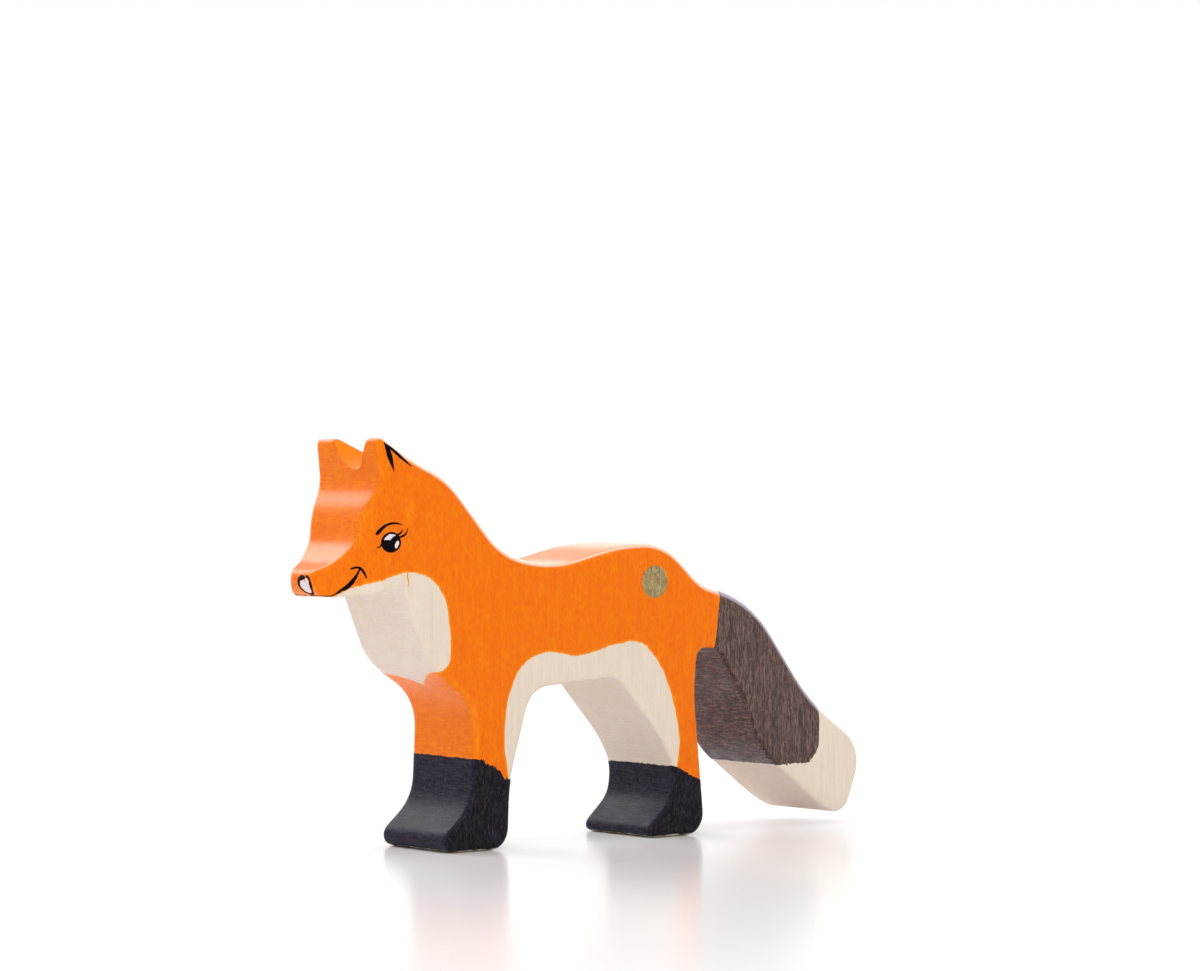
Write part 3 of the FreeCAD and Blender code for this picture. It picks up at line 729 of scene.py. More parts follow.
@dataclass
class SawnFigure:
    """The wooden figure: outline sawn from a board, arrises sanded, snout tapered, ears parted by a groove.

    Attributes:
        board: overall sizes.
        arris: usual rounding between sawn edge and planed face.
        nose_half_flat: half width of the nose's flat front.
        nose_corner: rounding of the nose's corners, seen from above.
        snout_taper: angle between the snout's sides and the board's faces, in degrees.
        taper_blend: softness of the change from taper to face.
        groove_width: groove between the ears, at their tips.
        groove_depth: ear tips to the groove's bottom.
        groove_rise: how much the groove's bottom rises towards the back of the head.
        groove_blend: sanding of the groove's edges.
        least_lowering: lowering of the ears from which they are moved along their front.
        groove_foot_share: height, as a share of the figure's, down to which the groove changes the ears.
        ear_back_share: share of the length at which the ears end behind.
        ear_front_lap: how far below the groove's foot the line of the ears' front still counts.
        ear_tip_blend: distances below the ear tips between which the ears' top joins their front.
        groove_edge: depths below the groove's surface between which the weight of the hollow rises.
        fine_step: distance between places of the fine outline.
        outline_softness: how far the fine outline is smoothed.
        sanding_reach: how far the sanding is smoothed along the fine outline, in places.
        spread_reach: how far the corners' values are smoothed along it, in places.
        tightest_share: widest sanding as a share of the outline's radius there.
        gentlest_turn: least turn between two places of the fine outline that limits the sanding.
        row_gap: distance between rows where the outline is straight.
        row_turn: turn between rows where it bends, in degrees.
        head_row_gap: distance between the rows that are added on the head.
        head_shares: share of the length up to which, and of the height above which, the head lies.
        snout_shares: the same for the snout and forehead, whose faces have finer triangles.
        arris_steps: columns of the skin on each arris.
        face_cell: size of the planed faces' triangles.
        snout_cell: size of the triangles on the snout and forehead.
        grid_share: share of the length that the grid of triangles covers.
        clear_share: how far triangles keep from the face's border, as a share of their size.
        rows: places of the skin's rows on the outline.
        outward: direction away from the figure at each row.
        sanding: width of the arris at each row.
    """

    board: Board
    arris: float = 1.25 * MM
    nose_half_flat: float = 2.2 * MM
    nose_corner: float = 3.2 * MM
    snout_taper: float = 31.0
    taper_blend: float = 0.45 * MM
    groove_width: float = 11.2 * MM
    groove_depth: float = 5.7 * MM
    groove_rise: float = 0.12
    groove_blend: float = 0.4 * MM
    least_lowering: float = 0.01 * MM
    groove_foot_share: float = 0.865
    ear_back_share: float = 0.25
    ear_front_lap: float = 2 * MM
    ear_tip_blend: Pair = (1.6 * MM, 0.2 * MM)
    groove_edge: Pair = (0.45 * MM, 0.1 * MM)
    fine_step: float = 0.1 * MM
    outline_softness: float = 0.6 * MM
    sanding_reach: int = 6
    spread_reach: int = 20
    tightest_share: float = 0.7
    gentlest_turn: float = 1e-3
    row_gap: float = 1.3 * MM
    row_turn: float = 7.0
    head_row_gap: float = 0.7 * MM
    head_shares: Pair = (0.13, 0.6)
    snout_shares: Pair = (0.10, 0.6)
    arris_steps: int = 6
    face_cell: float = 1.3 * MM
    snout_cell: float = 0.5 * MM
    grid_share: float = 1.02
    clear_share: float = 0.55
    rows: Array = field(init=False)
    outward: Array = field(init=False)
    sanding: Array = field(init=False)

    def __post_init__(self) -> None:
        """Work out the outline's rows, their directions and their sanding."""
        fine = evenly_spaced(self.board.outline(FIGURE_SHARES), self.fine_step)
        fine = ring_smoothed(fine, self.outline_softness / self.fine_step)
        corners = self.board.side(FIGURE_SHARES)
        sanding = self.spread(fine, corners, np.array([row[3] for row in FIGURE_SHARES]))
        tangents = unit(np.roll(fine, -1, axis=0) - np.roll(fine, 1, axis=0))
        outward = np.column_stack((tangents[:, 1], -tangents[:, 0]))
        ahead = np.roll(tangents, -1, axis=0)
        turns = tangents[:, 0] * ahead[:, 1] - tangents[:, 1] * ahead[:, 0]
        room = self.tightest_share * self.fine_step / np.maximum(turns, self.gentlest_turn)
        sanding = sanding * self.arris
        for _ in range(3):
            sanding = ring_smoothed(np.minimum(sanding, room), self.sanding_reach)
        chosen = self.row_numbers(fine, tangents)
        self.rows = fine[chosen]
        self.outward = outward[chosen]
        self.sanding = np.minimum(sanding, room)[chosen]

    def spread(self, fine: Array, corners: Array, values: Array) -> Array:
        """Values of the corners, spread smoothly along the fine outline.

        Args:
            fine: places of the fine outline.
            corners: places of the corners.
            values: one value for each corner.

        Returns:
            One value for each place of the fine outline.
        """
        at = np.array([np.sum((fine - corner) ** 2, axis=1).argmin() for corner in corners])
        order = np.argsort(at)
        spread = np.interp(np.arange(len(fine)), at[order], values[order], period=len(fine))
        return ring_smoothed(spread, self.spread_reach)

    def in_front_part(self, places: Array, shares: Pair) -> Array:
        """Whether places in the side view lie before a share of the length and above one of the height."""
        before = places[:, 0] < self.board.nose + shares[0] * self.board.length
        return before & (places[:, 1] > shares[1] * self.board.height)

    def row_numbers(self, fine: Array, tangents: Array) -> Array:
        """Choose the places of the fine outline that get a row: more where it bends, and on the head.

        Args:
            fine: places of the fine outline.
            tangents: its directions there.

        Returns:
            Numbers of the chosen places.
        """
        bend = np.linalg.norm(np.roll(tangents, -1, axis=0) - tangents, axis=1)
        head = self.in_front_part(fine, self.head_shares)
        cost = self.fine_step / self.row_gap + bend / math.radians(self.row_turn)
        cost = cost + head * self.fine_step / self.head_row_gap
        total = np.cumsum(cost)
        wanted = np.linspace(0, total[-1], int(total[-1]), endpoint=False)
        return np.unique(np.searchsorted(total, wanted))

    def half_thickness(self, across: Array) -> Array:
        """Half thickness of the figure: round corner of the nose, straight taper, full board.

        Args:
            across: X at which it is wanted.

        Returns:
            Half thickness at each X.
        """
        behind = np.maximum(across - self.board.nose, 0)
        taper = math.radians(self.snout_taper)
        corner_end = self.nose_corner * (1 - math.sin(taper))
        bow = np.sqrt(np.maximum(self.nose_corner**2 - (self.nose_corner - behind) ** 2, 0))
        round_part = self.nose_half_flat + bow
        start = self.nose_half_flat + self.nose_corner * math.cos(taper)
        straight = start + (behind - corner_end) * math.tan(taper)
        tapered = np.where(behind < corner_end, round_part, straight)
        return soft_min(tapered, np.full_like(tapered, self.board.half), self.taper_blend)

    def groove_height(self, across: Array) -> Array:
        """Height of the groove's surface, which is far above the ears beside the groove.

        Args:
            across: Y at which it is wanted.

        Returns:
            Height at each Y.
        """
        shares = np.array([row[:2] for row in EAR_GROOVE_SHARES])
        scale = np.array((self.groove_width, -self.groove_depth))
        corners = np.array((0, self.board.height)) + shares * scale
        line = rounded_line(corners, [row[2] for row in EAR_GROOVE_SHARES], closed=False)
        above = 2 * self.board.height
        return np.interp(across, line[:, 0], line[:, 1], left=above, right=above)

    def groove_ears(self, band: Array) -> Array:
        """Lower the band's rows over the ears into the groove between them.

        Args:
            band: places of the band, one row for each row of the outline. They are changed in place.

        Returns:
            Weight that is 1 where the band lies in the groove.
        """
        tip = self.rows[:, 1].argmax()
        tip_across, tip_height = self.rows[tip]
        foot = self.groove_foot_share * self.board.height
        back = self.board.nose + self.ear_back_share * self.board.length
        ground = self.groove_height(band[:, :, 1])
        ground += self.groove_rise * np.maximum(band[:, :, 0] - tip_across, 0)
        heights = band[:, :, 2]
        ahead = (np.arange(len(self.rows)) > tip)[:, None] & (heights > foot)
        behind = ~ahead & (heights > foot) & (band[:, :, 0] < back)
        lowered = soft_min(np.full_like(ground, tip_height), ground, self.groove_blend)
        squeezed = foot + (heights - foot) * (lowered - foot) / (tip_height - foot)
        front = self.rows[tip:][self.rows[tip:, 1] > foot - self.ear_front_lap]
        face = np.interp(squeezed, front[::-1, 1], front[::-1, 0])
        far, near = self.ear_tip_blend
        near_tip = smooth_step(heights, tip_height - far, tip_height - near)
        moved = face + (band[:, :, 0] - face) * near_tip
        is_lowered = lowered < tip_height - self.least_lowering
        band[:, :, 0] = np.where(ahead & is_lowered, moved, band[:, :, 0])
        band[:, :, 2] = np.where(ahead, squeezed, heights)
        band[:, :, 2] = np.where(behind, soft_min(band[:, :, 2], ground, self.groove_blend), band[:, :, 2])
        in_groove = (ahead | behind) & (ground < tip_height)
        low, high = self.groove_edge
        return in_groove * smooth_step(band[:, :, 2], ground - low, ground - high)

    def columns(self) -> tuple[Array, Array]:
        """Columns of the band from the left planed face to the right one.

        Returns:
            Angle of each column on its arris, and its place across the board's middle part.
        """
        arris = np.linspace(math.pi / 2, 0, self.arris_steps + 1)[:-1]
        middle = np.concatenate([np.linspace(*run) for run in MIDDLE_COLUMN_SHARES])
        angles = np.concatenate((arris, np.zeros(len(middle)), arris[::-1]))
        across = np.concatenate((np.full(len(arris), -1), middle, np.full(len(arris), 1)))
        return angles, across

    def make_skin(self) -> Skin:
        """Close the skin of the whole figure from the sawn band round its edge and its two planed faces.

        Returns:
            The skin, with its normals.
        """
        angles, across = self.columns()
        inset = self.sanding[:, None] * (1 - np.cos(angles))
        plan = self.rows[:, None, :] - self.outward[:, None, :] * inset[:, :, None]
        half = self.half_thickness(plan[:, :, 0])
        flat = across * (half - self.sanding[:, None])
        turned_part = np.sign(across) * (half - self.sanding[:, None] * (1 - np.sin(angles)))
        depth = np.where(angles > 0, turned_part, flat)
        band = np.stack((plan[:, :, 0], depth, plan[:, :, 1]), axis=2)
        hollow = self.groove_ears(band)
        count, width = band.shape[:2]
        number = np.arange(count * width).reshape(count, width)
        a = number[:, :-1].ravel()
        b = number[:, 1:].ravel()
        c = np.roll(number, -1, axis=0)[:, 1:].ravel()
        d = np.roll(number, -1, axis=0)[:, :-1].ravel()
        points = [band.reshape(-1, 3)]
        triangles = [np.column_stack((a, b, c)), np.column_stack((a, c, d))]
        flank = [np.tile(angles / (math.pi / 2), count) - hollow.ravel()]
        inner, cells = self.face_cells(plan[:, 0])
        total = count * width
        for side, column in ((Side.LEFT, 0), (Side.RIGHT, width - 1)):
            face_depth = side.value * self.half_thickness(inner[:, 0])
            points.append(np.column_stack((inner[:, 0], face_depth, inner[:, 1])))
            renumber = np.concatenate((number[:, column], total + np.arange(len(inner))))
            face = renumber[cells]
            triangles.append(face if side is Side.LEFT else face[:, ::-1])
            flank.append(np.ones(len(inner)))
            total += len(inner)
        skin = Skin(np.vstack(points), np.zeros((total, 3)), np.concatenate(flank), np.vstack(triangles))
        skin.normals = corner_normals(skin.points, skin.triangles)
        return skin

    def face_cells(self, border: Array) -> tuple[Array, Array]:
        """Fill the planed face with triangles.

        Args:
            border: places of the face's border in the side view.

        Returns:
            Places inside the face, and triangles whose numbers count the border's places first.
        """
        grids = [(self.grid(cell), cell) for cell in (self.face_cell, self.snout_cell)]
        inner = np.vstack([grid for grid, _ in grids])
        sizes = np.concatenate([np.full(len(grid), cell) for grid, cell in grids])
        wanted = self.in_front_part(inner, self.snout_shares) == (sizes == self.snout_cell)
        inner = inner[wanted]
        inner = inner[line_depth(border, inner) > self.clear_share * sizes[wanted]]
        places = np.vstack((border, inner))
        ring = np.arange(len(border))
        edges = np.column_stack((ring, np.roll(ring, -1))).tolist()
        result = delaunay_2d_cdt([Vector(place) for place in places], edges, [], INSIDE_ONLY, SAME_PLACE)
        if len(result[0]) > len(places):
            log.warning("border of the face crosses itself at %s", result[0][len(places):])
        origin = np.array([numbers[0] if numbers else 0 for numbers in result[3]])
        cells = origin[np.array(result[2])]
        first, second, third = places[cells].transpose(1, 0, 2)
        turn = np.cross(second - first, third - first)
        cells[turn < 0] = cells[turn < 0, ::-1]
        return inner, cells

    def grid(self, cell: float) -> Array:
        """Triangular grid over the whole side view.

        Args:
            cell: distance between neighbouring places.

        Returns:
            Places of the grid.
        """
        across, up = np.meshgrid(
            np.arange(self.board.nose, self.board.nose + self.grid_share * self.board.length, cell),
            np.arange(0, self.board.height, cell * math.sqrt(0.75)),
        )
        across[1::2] += cell / 2
        return np.column_stack((across.ravel(), up.ravel()))


def corner_normals(points: Array, triangles: Array) -> Array:
    """Directions in which a surface faces at its corners.

    Args:
        points: places of the corners.
        triangles: numbers of the corners of each triangle.

    Returns:
        One direction of length one for each corner.
    """
    first, second, third = points[triangles].transpose(1, 0, 2)
    faces = np.cross(second - first, third - first)
    normals = np.zeros_like(points)
    for column in range(3):
        np.add.at(normals, triangles[:, column], faces)
    return unit(normals)


def make_piece(
    name: str,
    points: Array,
    triangles: Array,
    values: dict[str, Array],
    material: Material,
    sharp_angle: float = 50.0,
) -> bpy.types.Object:
    """Object from triangles.

    Args:
        name: name of the object.
        points: places of its corners.
        triangles: numbers of the corners of each triangle.
        values: named values at the corners, which materials read.
        material: finish of the whole object.
        sharp_angle: degrees between faces above which an edge shades sharp.

    Returns:
        The object, linked to the scene.
    """
    mesh = bpy.data.meshes.new(name)
    mesh.from_pydata(points.tolist(), [], triangles.tolist())
    for key, numbers in values.items():
        attribute = mesh.attributes.new(key, "FLOAT", "POINT")
        attribute.data.foreach_set("value", numbers.astype(np.float32))
    mesh.materials.append(material)
    mesh.shade_smooth()
    mesh.set_sharp_from_angle(angle=math.radians(sharp_angle))
    piece = bpy.data.objects.new(name, mesh)
    bpy.context.scene.collection.objects.link(piece)
    log.info("%s: %d corners, %d triangles", name, len(points), len(triangles))
    return piece


@dataclass
class Painter:
    """Lays films of paint on the figure's skin, one object for each node of the frame.

    Attributes:
        skin: skin of the bare figure.
        reach: how far outside a field the skin is still looked at.
        margin: how far from a field's border edges are still halved.
        deepest: most millimetres from the border that materials are told.
    """

    skin: Skin
    reach: float = 2.2 * MM
    margin: float = 0.18 * MM
    deepest: float = 3.0

    def lay(
        self, node: str, depth_at: Field, cover: Cover, material: Material, cell: float
    ) -> None:
        """Cover one field with a film.

        Args:
            node: node of the frame that the film stands for.
            depth_at: depth of a skin's corners inside the field.
            cover: how far the film stands off the wood.
            material: finish of the film.
            cell: longest edge along the field's border.
        """
        depth = depth_at(self.skin)
        near = self.skin.chosen((depth[self.skin.triangles] > -self.reach).any(axis=1))
        fine, depth = near.finer(depth_at, cell, self.margin)
        covered, depths = fine.cut(depth)
        points, triangles = covered.film(depths, cover)
        values = {
            "edge_depth": np.tile(np.minimum(depths / MM, self.deepest), 2),
            "flank": np.tile(covered.flank, 2),
        }
        piece = make_piece(f"{node}_film", points, triangles, values, material)
        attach(piece, BODY)
        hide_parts(node)


@dataclass
class Coats:
    """Fields of stain and paint on the figure.

    Attributes:
        board: overall sizes.
        stain_cell: longest edge along the border of the orange.
        paint_cell: longest edge along the borders of the other coats.
        lap: how far the orange runs on under the socks.
        sole_gap: bare line between a sock and the sole.
        sole_wobble: how far that line strays.
        sole_cells: size of its waves.
        raggedness: how far the brush strays from the drawn edges.
        tick_cells: size of the fine upright ticks of that straying.
        tick_share: how much of it they make up.
        wave_cells: size of its longer waves.
        wave_share: how much of it these make up.
        sock_spikes: spikes in the upper edge of the front sock.
        sock_spike_shares: shares of the length between which they stand.
        sock_spike_lean: how far they lean towards the nose for each unit of height.
        tail_spikes: spikes in the lower edge of the tail's brown.
        tail_spike_shares: shares of the length between which they stand.
        spike_fade: share of the length over which spikes fade out beside their stretch.
        drop_shares: shares of the height between which the drop of the bib's foot fades out.
        chest_slope: how far the front of the chest runs back for each unit that it runs down.
        streak_limit: flank value above which the stray streak shows.
    """

    board: Board
    stain_cell: float = 0.20 * MM
    paint_cell: float = 0.13 * MM
    lap: float = 1.3 * MM
    sole_gap: float = 0.40 * MM
    sole_wobble: float = 0.15 * MM
    sole_cells: tuple[float, ...] = (1.2 * MM, 1.2 * MM, MM)
    raggedness: float = 0.22 * MM
    tick_cells: tuple[float, ...] = (0.32 * MM, 0.34 * MM, 2.5 * MM)
    tick_share: float = 0.75
    wave_cells: tuple[float, ...] = (1.6 * MM, 1.8 * MM, 5 * MM)
    wave_share: float = 0.5
    sock_spikes: Wobble = Wobble(0.75 * MM, (0.26 * MM, 0.4 * MM, 5 * MM), Seed.SOCK_SPIKES)
    sock_spike_shares: Pair = (0.262, 0.306)
    sock_spike_lean: float = 0.35
    tail_spikes: Wobble = Wobble(0.40 * MM, (0.5 * MM, 0.5 * MM, 4 * MM), Seed.TAIL_SPIKES)
    tail_spike_shares: Pair = (0.850, 0.895)
    spike_fade: float = 0.01
    drop_shares: Pair = (0.52, 0.62)
    chest_slope: float = 1.4
    streak_limit: float = 0.5

    def __post_init__(self) -> None:
        """Draw the edges of the fields."""
        self.bib = self.board.outline(BIB_SHARES)
        self.belly = self.board.outline(BELLY_SHARES)
        self.front_sock = self.board.outline(FRONT_SOCK_SHARES)
        self.rear_sock = self.board.outline(REAR_SOCK_SHARES)
        self.tail = self.board.outline(TAIL_SHARES)
        self.tail_bare = self.board.outline(TAIL_BARE_SHARES)

    def strayed(self, skin: Skin, seed: int) -> Array:
        """Straying of a brushed edge, in fine upright ticks on longer waves.

        Args:
            skin: any part of the skin.
            seed: random field of the ticks. The waves follow the next one.

        Returns:
            Straying at each corner.
        """
        ticks = drift(skin.points, self.tick_cells, seed)
        waves = drift(skin.points, self.wave_cells, seed + 1)
        return self.raggedness * (self.tick_share * ticks + self.wave_share * waves)

    def between(self, skin: Skin, shares: Pair) -> Array:
        """Weight that is 1 between two shares of the length and fades out beside them.

        Args:
            skin: any part of the skin.
            shares: the two shares.

        Returns:
            Weight at each corner.
        """
        first, last = shares
        share = (skin.points[:, 0] - self.board.nose) / self.board.length
        rise = smooth_step(share, first - self.spike_fade, first)
        return rise * (1 - smooth_step(share, last, last + self.spike_fade))

    def bib_drop(self, skin: Skin) -> Array:
        """How far the bib's foot hangs lower on the front of the chest than on the flanks.

        Args:
            skin: any part of the skin.

        Returns:
            Drop at each corner.
        """
        table = np.array(BIB_FOOT_DROPS) * MM
        drop = np.interp(skin.points[:, 1], table[:, 0], table[:, 1])
        height = skin.points[:, 2] / self.board.height
        return drop * (1 - skin.flank) * (1 - smooth_step(height, *self.drop_shares))

    def front_sock_depth(self, skin: Skin) -> Array:
        """Depth inside the front sock.

        Args:
            skin: any part of the skin.

        Returns:
            Depth of each corner.
        """
        leaning = skin.points + skin.points[:, [2]] * np.array((self.sock_spike_lean, 0, 0))
        spikes = self.between(skin, self.sock_spike_shares) * self.sock_spikes.at(leaning)
        depth = line_depth(self.front_sock, skin.side_view()) + self.strayed(skin, Seed.FRONT_SOCK) + spikes
        return np.minimum(depth, self.sole_depth(skin, Seed.FRONT_SOLE))

    def rear_sock_depth(self, skin: Skin) -> Array:
        """Depth inside the rear sock."""
        depth = line_depth(self.rear_sock, skin.side_view()) + self.strayed(skin, Seed.REAR_SOCK)
        return np.minimum(depth, self.sole_depth(skin, Seed.REAR_SOLE))

    def sole_depth(self, skin: Skin, seed: Seed) -> Array:
        """Height above the bare line along the sole."""
        wobble = Wobble(self.sole_wobble, self.sole_cells, seed)
        return skin.points[:, 2] - self.sole_gap + wobble.at(skin.points)

    def tail_depth(self, skin: Skin) -> Array:
        """Depth inside the brown of the tail."""
        spikes = self.between(skin, self.tail_spike_shares) * self.tail_spikes.at(skin.points)
        return line_depth(self.tail, skin.side_view()) + self.strayed(skin, Seed.TAIL) + spikes

    def orange_depth(self, skin: Skin) -> Array:
        """Depth inside the orange, which leaves bib, belly and tail bare and ends under the socks.

        Args:
            skin: any part of the skin.

        Returns:
            Depth of each corner.
        """
        places = skin.side_view()
        drop = self.bib_drop(skin)
        chest = places + np.column_stack((-self.chest_slope * drop, drop))
        bare = np.maximum(line_depth(self.bib, chest), line_depth(self.belly, places))
        bare = np.maximum(bare, line_depth(self.tail_bare, places))
        socks = np.maximum(line_depth(self.front_sock, places), line_depth(self.rear_sock, places))
        streak = stroke_depth(self.board.stroke(BIB_STREAK), places)
        streak = np.minimum(streak, skin.flank_depth(self.streak_limit))
        return np.maximum(np.minimum(self.strayed(skin, Seed.ORANGE) - bare, self.lap - socks), streak)

    def build(self, painter: Painter, finishes: "Finishes") -> None:
        """Lay all coats.

        Args:
            painter: lays the films.
            finishes: materials of all finishes.
        """
        painter.lay(
            "orange_coat", self.orange_depth, Cover.STAIN, finishes.orange, self.stain_cell
        )
        painted = (
            ("front_sock_coat", "black_paint", self.front_sock_depth, finishes.black),
            ("rear_sock_coat", "black_paint", self.rear_sock_depth, finishes.black),
            ("tail_brown_coat", "brown_paint", self.tail_depth, finishes.brown),
        )
        for node, slot, depth_at, material in painted:
            painter.lay(node, depth_at, Cover.PAINT, material, self.paint_cell)


@dataclass
class FaceMarks:
    """Inked eye, brow, lashes, mouth and ear strokes on one flank of the head.

    Attributes:
        board: overall sizes.
        side: flank that carries the marks.
        cell: longest edge along a mark's border.
        middle_gap: how far the marks keep from the board's middle.
        face_limit: flank value above which the marks on the planed face show.
        stroke_wobble: straying of the strokes' edges.
        eye_wobble: straying of the eye's edge.
        white_wobble: straying of the edges of its white fields.
        eye_corners: corners of the line round the eye.
    """

    board: Board
    side: Side
    cell: float = 0.075 * MM
    middle_gap: float = 0.5 * MM
    face_limit: float = 0.25
    stroke_wobble: Wobble = Wobble(0.03 * MM, (0.3 * MM, 0.3 * MM), Seed.STROKES)
    eye_wobble: Wobble = Wobble(0.05 * MM, (0.7 * MM, 0.7 * MM), Seed.EYE)
    white_wobble: Wobble = Wobble(0.05 * MM, (0.35 * MM, 0.35 * MM), Seed.EYE_WHITE)
    eye_corners: int = 64

    def on_side(self, skin: Skin, depth: Array) -> Array:
        """Depth of a mark, kept to its own flank."""
        return np.minimum(depth, self.side.value * skin.points[:, 1] - self.middle_gap)

    def on_face(self, skin: Skin, depth: Array) -> Array:
        """Depth of a mark, kept to its flank's planed face."""
        return np.minimum(self.on_side(skin, depth), skin.flank_depth(self.face_limit))

    def strokes(self, skin: Skin, strokes: Sequence[Rows]) -> Array:
        """Depth inside any of some brush strokes.

        Args:
            skin: any part of the skin.
            strokes: rows of each stroke.

        Returns:
            Depth of each corner.
        """
        places = skin.side_view()
        depths = [stroke_depth(self.board.stroke(rows), places) for rows in strokes]
        return np.maximum.reduce(depths) + self.stroke_wobble.at(places)

    def eye_line(self, rows: Rows | None = None) -> Array:
        """Edge of the eye, or of a field in it.

        Args:
            rows: corners of the field, as shares of the eye's size. Without them the whole eye is meant.

        Returns:
            Places along the edge.
        """
        centre = self.board.side([EYE_PLACE_SHARES])[0]
        size = np.array((EYE_WIDTH, EYE_HEIGHT))
        if rows is None:
            angles = np.linspace(0, 2 * math.pi, self.eye_corners, endpoint=False)
            return centre + np.column_stack((np.cos(angles), np.sin(angles))) * size / 2
        corners = centre + np.array([row[:2] for row in rows]) * size
        return rounded_line(corners, [row[2] for row in rows])

    def eye_depth(self, skin: Skin) -> Array:
        """Depth inside the eye."""
        places = skin.side_view()
        return self.on_face(skin, line_depth(self.eye_line(), places) + self.eye_wobble.at(places))

    def white_depth(self, skin: Skin) -> Array:
        """Depth inside the eye's crescent or its glint.

        Args:
            skin: any part of the skin.

        Returns:
            Depth of each corner.
        """
        places = skin.side_view()
        lines = (self.eye_line(EYE_CRESCENT_SHARES), self.eye_line(EYE_GLINT_SHARES))
        depths = [line_depth(line, places) for line in lines]
        return self.on_face(skin, np.maximum(*depths) + self.white_wobble.at(places))

    def build(self, painter: Painter, finishes: "Finishes") -> None:
        """Ink all marks of the flank.

        Args:
            painter: lays the films.
            finishes: materials of all finishes.
        """
        name = self.side.name.lower()
        marks: dict[str, Field] = {
            "eye_black": self.eye_depth,
            "brow": lambda skin: self.on_face(skin, self.strokes(skin, [BROW_STROKE])),
            "lashes": lambda skin: self.on_face(skin, self.strokes(skin, LASH_STROKES)),
            "smile": lambda skin: self.on_side(skin, self.strokes(skin, [SMILE_STROKE, CHEEK_STROKE])),
            "ear_mark": lambda skin: self.on_face(skin, self.strokes(skin, EAR_STROKES)),
        }
        for mark, depth_at in marks.items():
            painter.lay(f"{name}_{mark}", depth_at, Cover.INK, finishes.ink, self.cell)
        white = f"{name}_eye_white"
        painter.lay(white, self.white_depth, Cover.HIGHLIGHT, finishes.chalk, self.cell)


@dataclass
class NoseMark:
    """Inked outline and pale fill of the nose, on the front of the snout.

    Attributes:
        board: overall sizes.
        reach: how far back from the nose's tip the mark may reach.
        cell: longest edge along the mark's border.
        wobble: straying of the mark's edges.
    """

    board: Board
    reach: float = 3.4 * MM
    cell: float = 0.075 * MM
    wobble: Wobble = Wobble(0.05 * MM, (0.5 * MM, 0.4 * MM), Seed.NOSE)

    def front_line(self, rows: Rows) -> Array:
        """Closed line in the front view."""
        corners = np.array([(row[0] * MM, row[1] * self.board.height) for row in rows])
        return rounded_line(corners, [row[2] for row in rows])

    def on_snout(self, skin: Skin, depth: Array) -> Array:
        """Depth of a mark, kept to the front of the snout."""
        return np.minimum(depth, self.board.nose + self.reach - skin.points[:, 0])

    def fields(self, skin: Skin) -> tuple[Array, Array, Array]:
        """Fields that make up the nose.

        Args:
            skin: any part of the skin.

        Returns:
            Depth of each corner inside the nose, inside its fill, and inside the tick at its top.
        """
        places = skin.points[:, [1, 2]]
        wobble = self.wobble.at(places)
        corners = [(row[0] * MM, row[1] * self.board.height, row[2] * MM / 2) for row in NOSE_TICK]
        tick = stroke_depth(flowing_rows(np.array(corners)), places)
        outer = line_depth(self.front_line(NOSE_OUTER), places) + wobble
        inner = line_depth(self.front_line(NOSE_INNER), places) - wobble
        return outer, inner, tick

    def black_depth(self, skin: Skin) -> Array:
        """Depth inside the black of the nose."""
        outer, inner, tick = self.fields(skin)
        return self.on_snout(skin, np.minimum(outer, np.maximum(-inner, tick)))

    def white_depth(self, skin: Skin) -> Array:
        """Depth inside the pale fill of the nose."""
        _, inner, tick = self.fields(skin)
        return self.on_snout(skin, np.minimum(inner, -tick))

    def build(self, painter: Painter, finishes: "Finishes") -> None:
        """Ink the nose."""
        painter.lay("nose_line", self.black_depth, Cover.INK, finishes.ink, self.cell)
        painter.lay("nose_white", self.white_depth, Cover.INK, finishes.chalk, self.cell)


@dataclass
class GoldSpot:
    """Round spot of gold paint on the left flank.

    Attributes:
        board: overall sizes.
        radius: of the spot.
        cell: longest edge along its border.
        wobble: straying of its edge.
    """

    board: Board
    radius: float = GOLD_SPOT_RADIUS
    cell: float = 0.12 * MM
    wobble: Wobble = Wobble(0.07 * MM, (0.6 * MM, 0.6 * MM), Seed.GOLD_SPOT)

    def depth(self, skin: Skin) -> Array:
        """Depth inside the spot, kept to the left flank.

        Args:
            skin: any part of the skin.

        Returns:
            Depth of each corner.
        """
        centre = self.board.side([GOLD_SPOT_SHARES])[0]
        places = skin.side_view()
        round_depth = self.radius - np.linalg.norm(places - centre, axis=1)
        return np.minimum(round_depth + self.wobble.at(places), -skin.points[:, 1] - self.board.half / 2)

    def build(self, painter: Painter, finishes: "Finishes") -> None:
        """Lay the spot."""
        painter.lay("gold_spot", self.depth, Cover.PAINT, finishes.gold, self.cell)


def rendered(colour: Colour) -> tuple[float, float, float, float]:
    """Linear value of a colour.

    Args:
        colour: channels from 0 to 255, as they show on the screen.

    Returns:
        Linear channels, and full alpha.
    """
    shares = [channel / 255 for channel in colour]
    linear = [share / 12.92 if share <= 0.04045 else ((share + 0.055) / 1.055) ** 2.4 for share in shares]
    return (*linear, 1.0)


@dataclass(frozen=True)
class Noise:
    """Smooth noise on the object.

    Attributes:
        sizes: size of its cells along each axis.
        detail: how many finer layers it has.
        rough: strength of each finer layer.
        shift: how far it is moved along each axis, counted in cells.
    """

    sizes: Triple
    detail: float
    rough: float
    shift: float = 0.0


GRAIN_GROUP = "board_grain"
RIM_GROUP = "coat_rim"

# Values of the blotches between which the roughness changes.
ROUGHNESS_BAND = (0.3, 0.7)

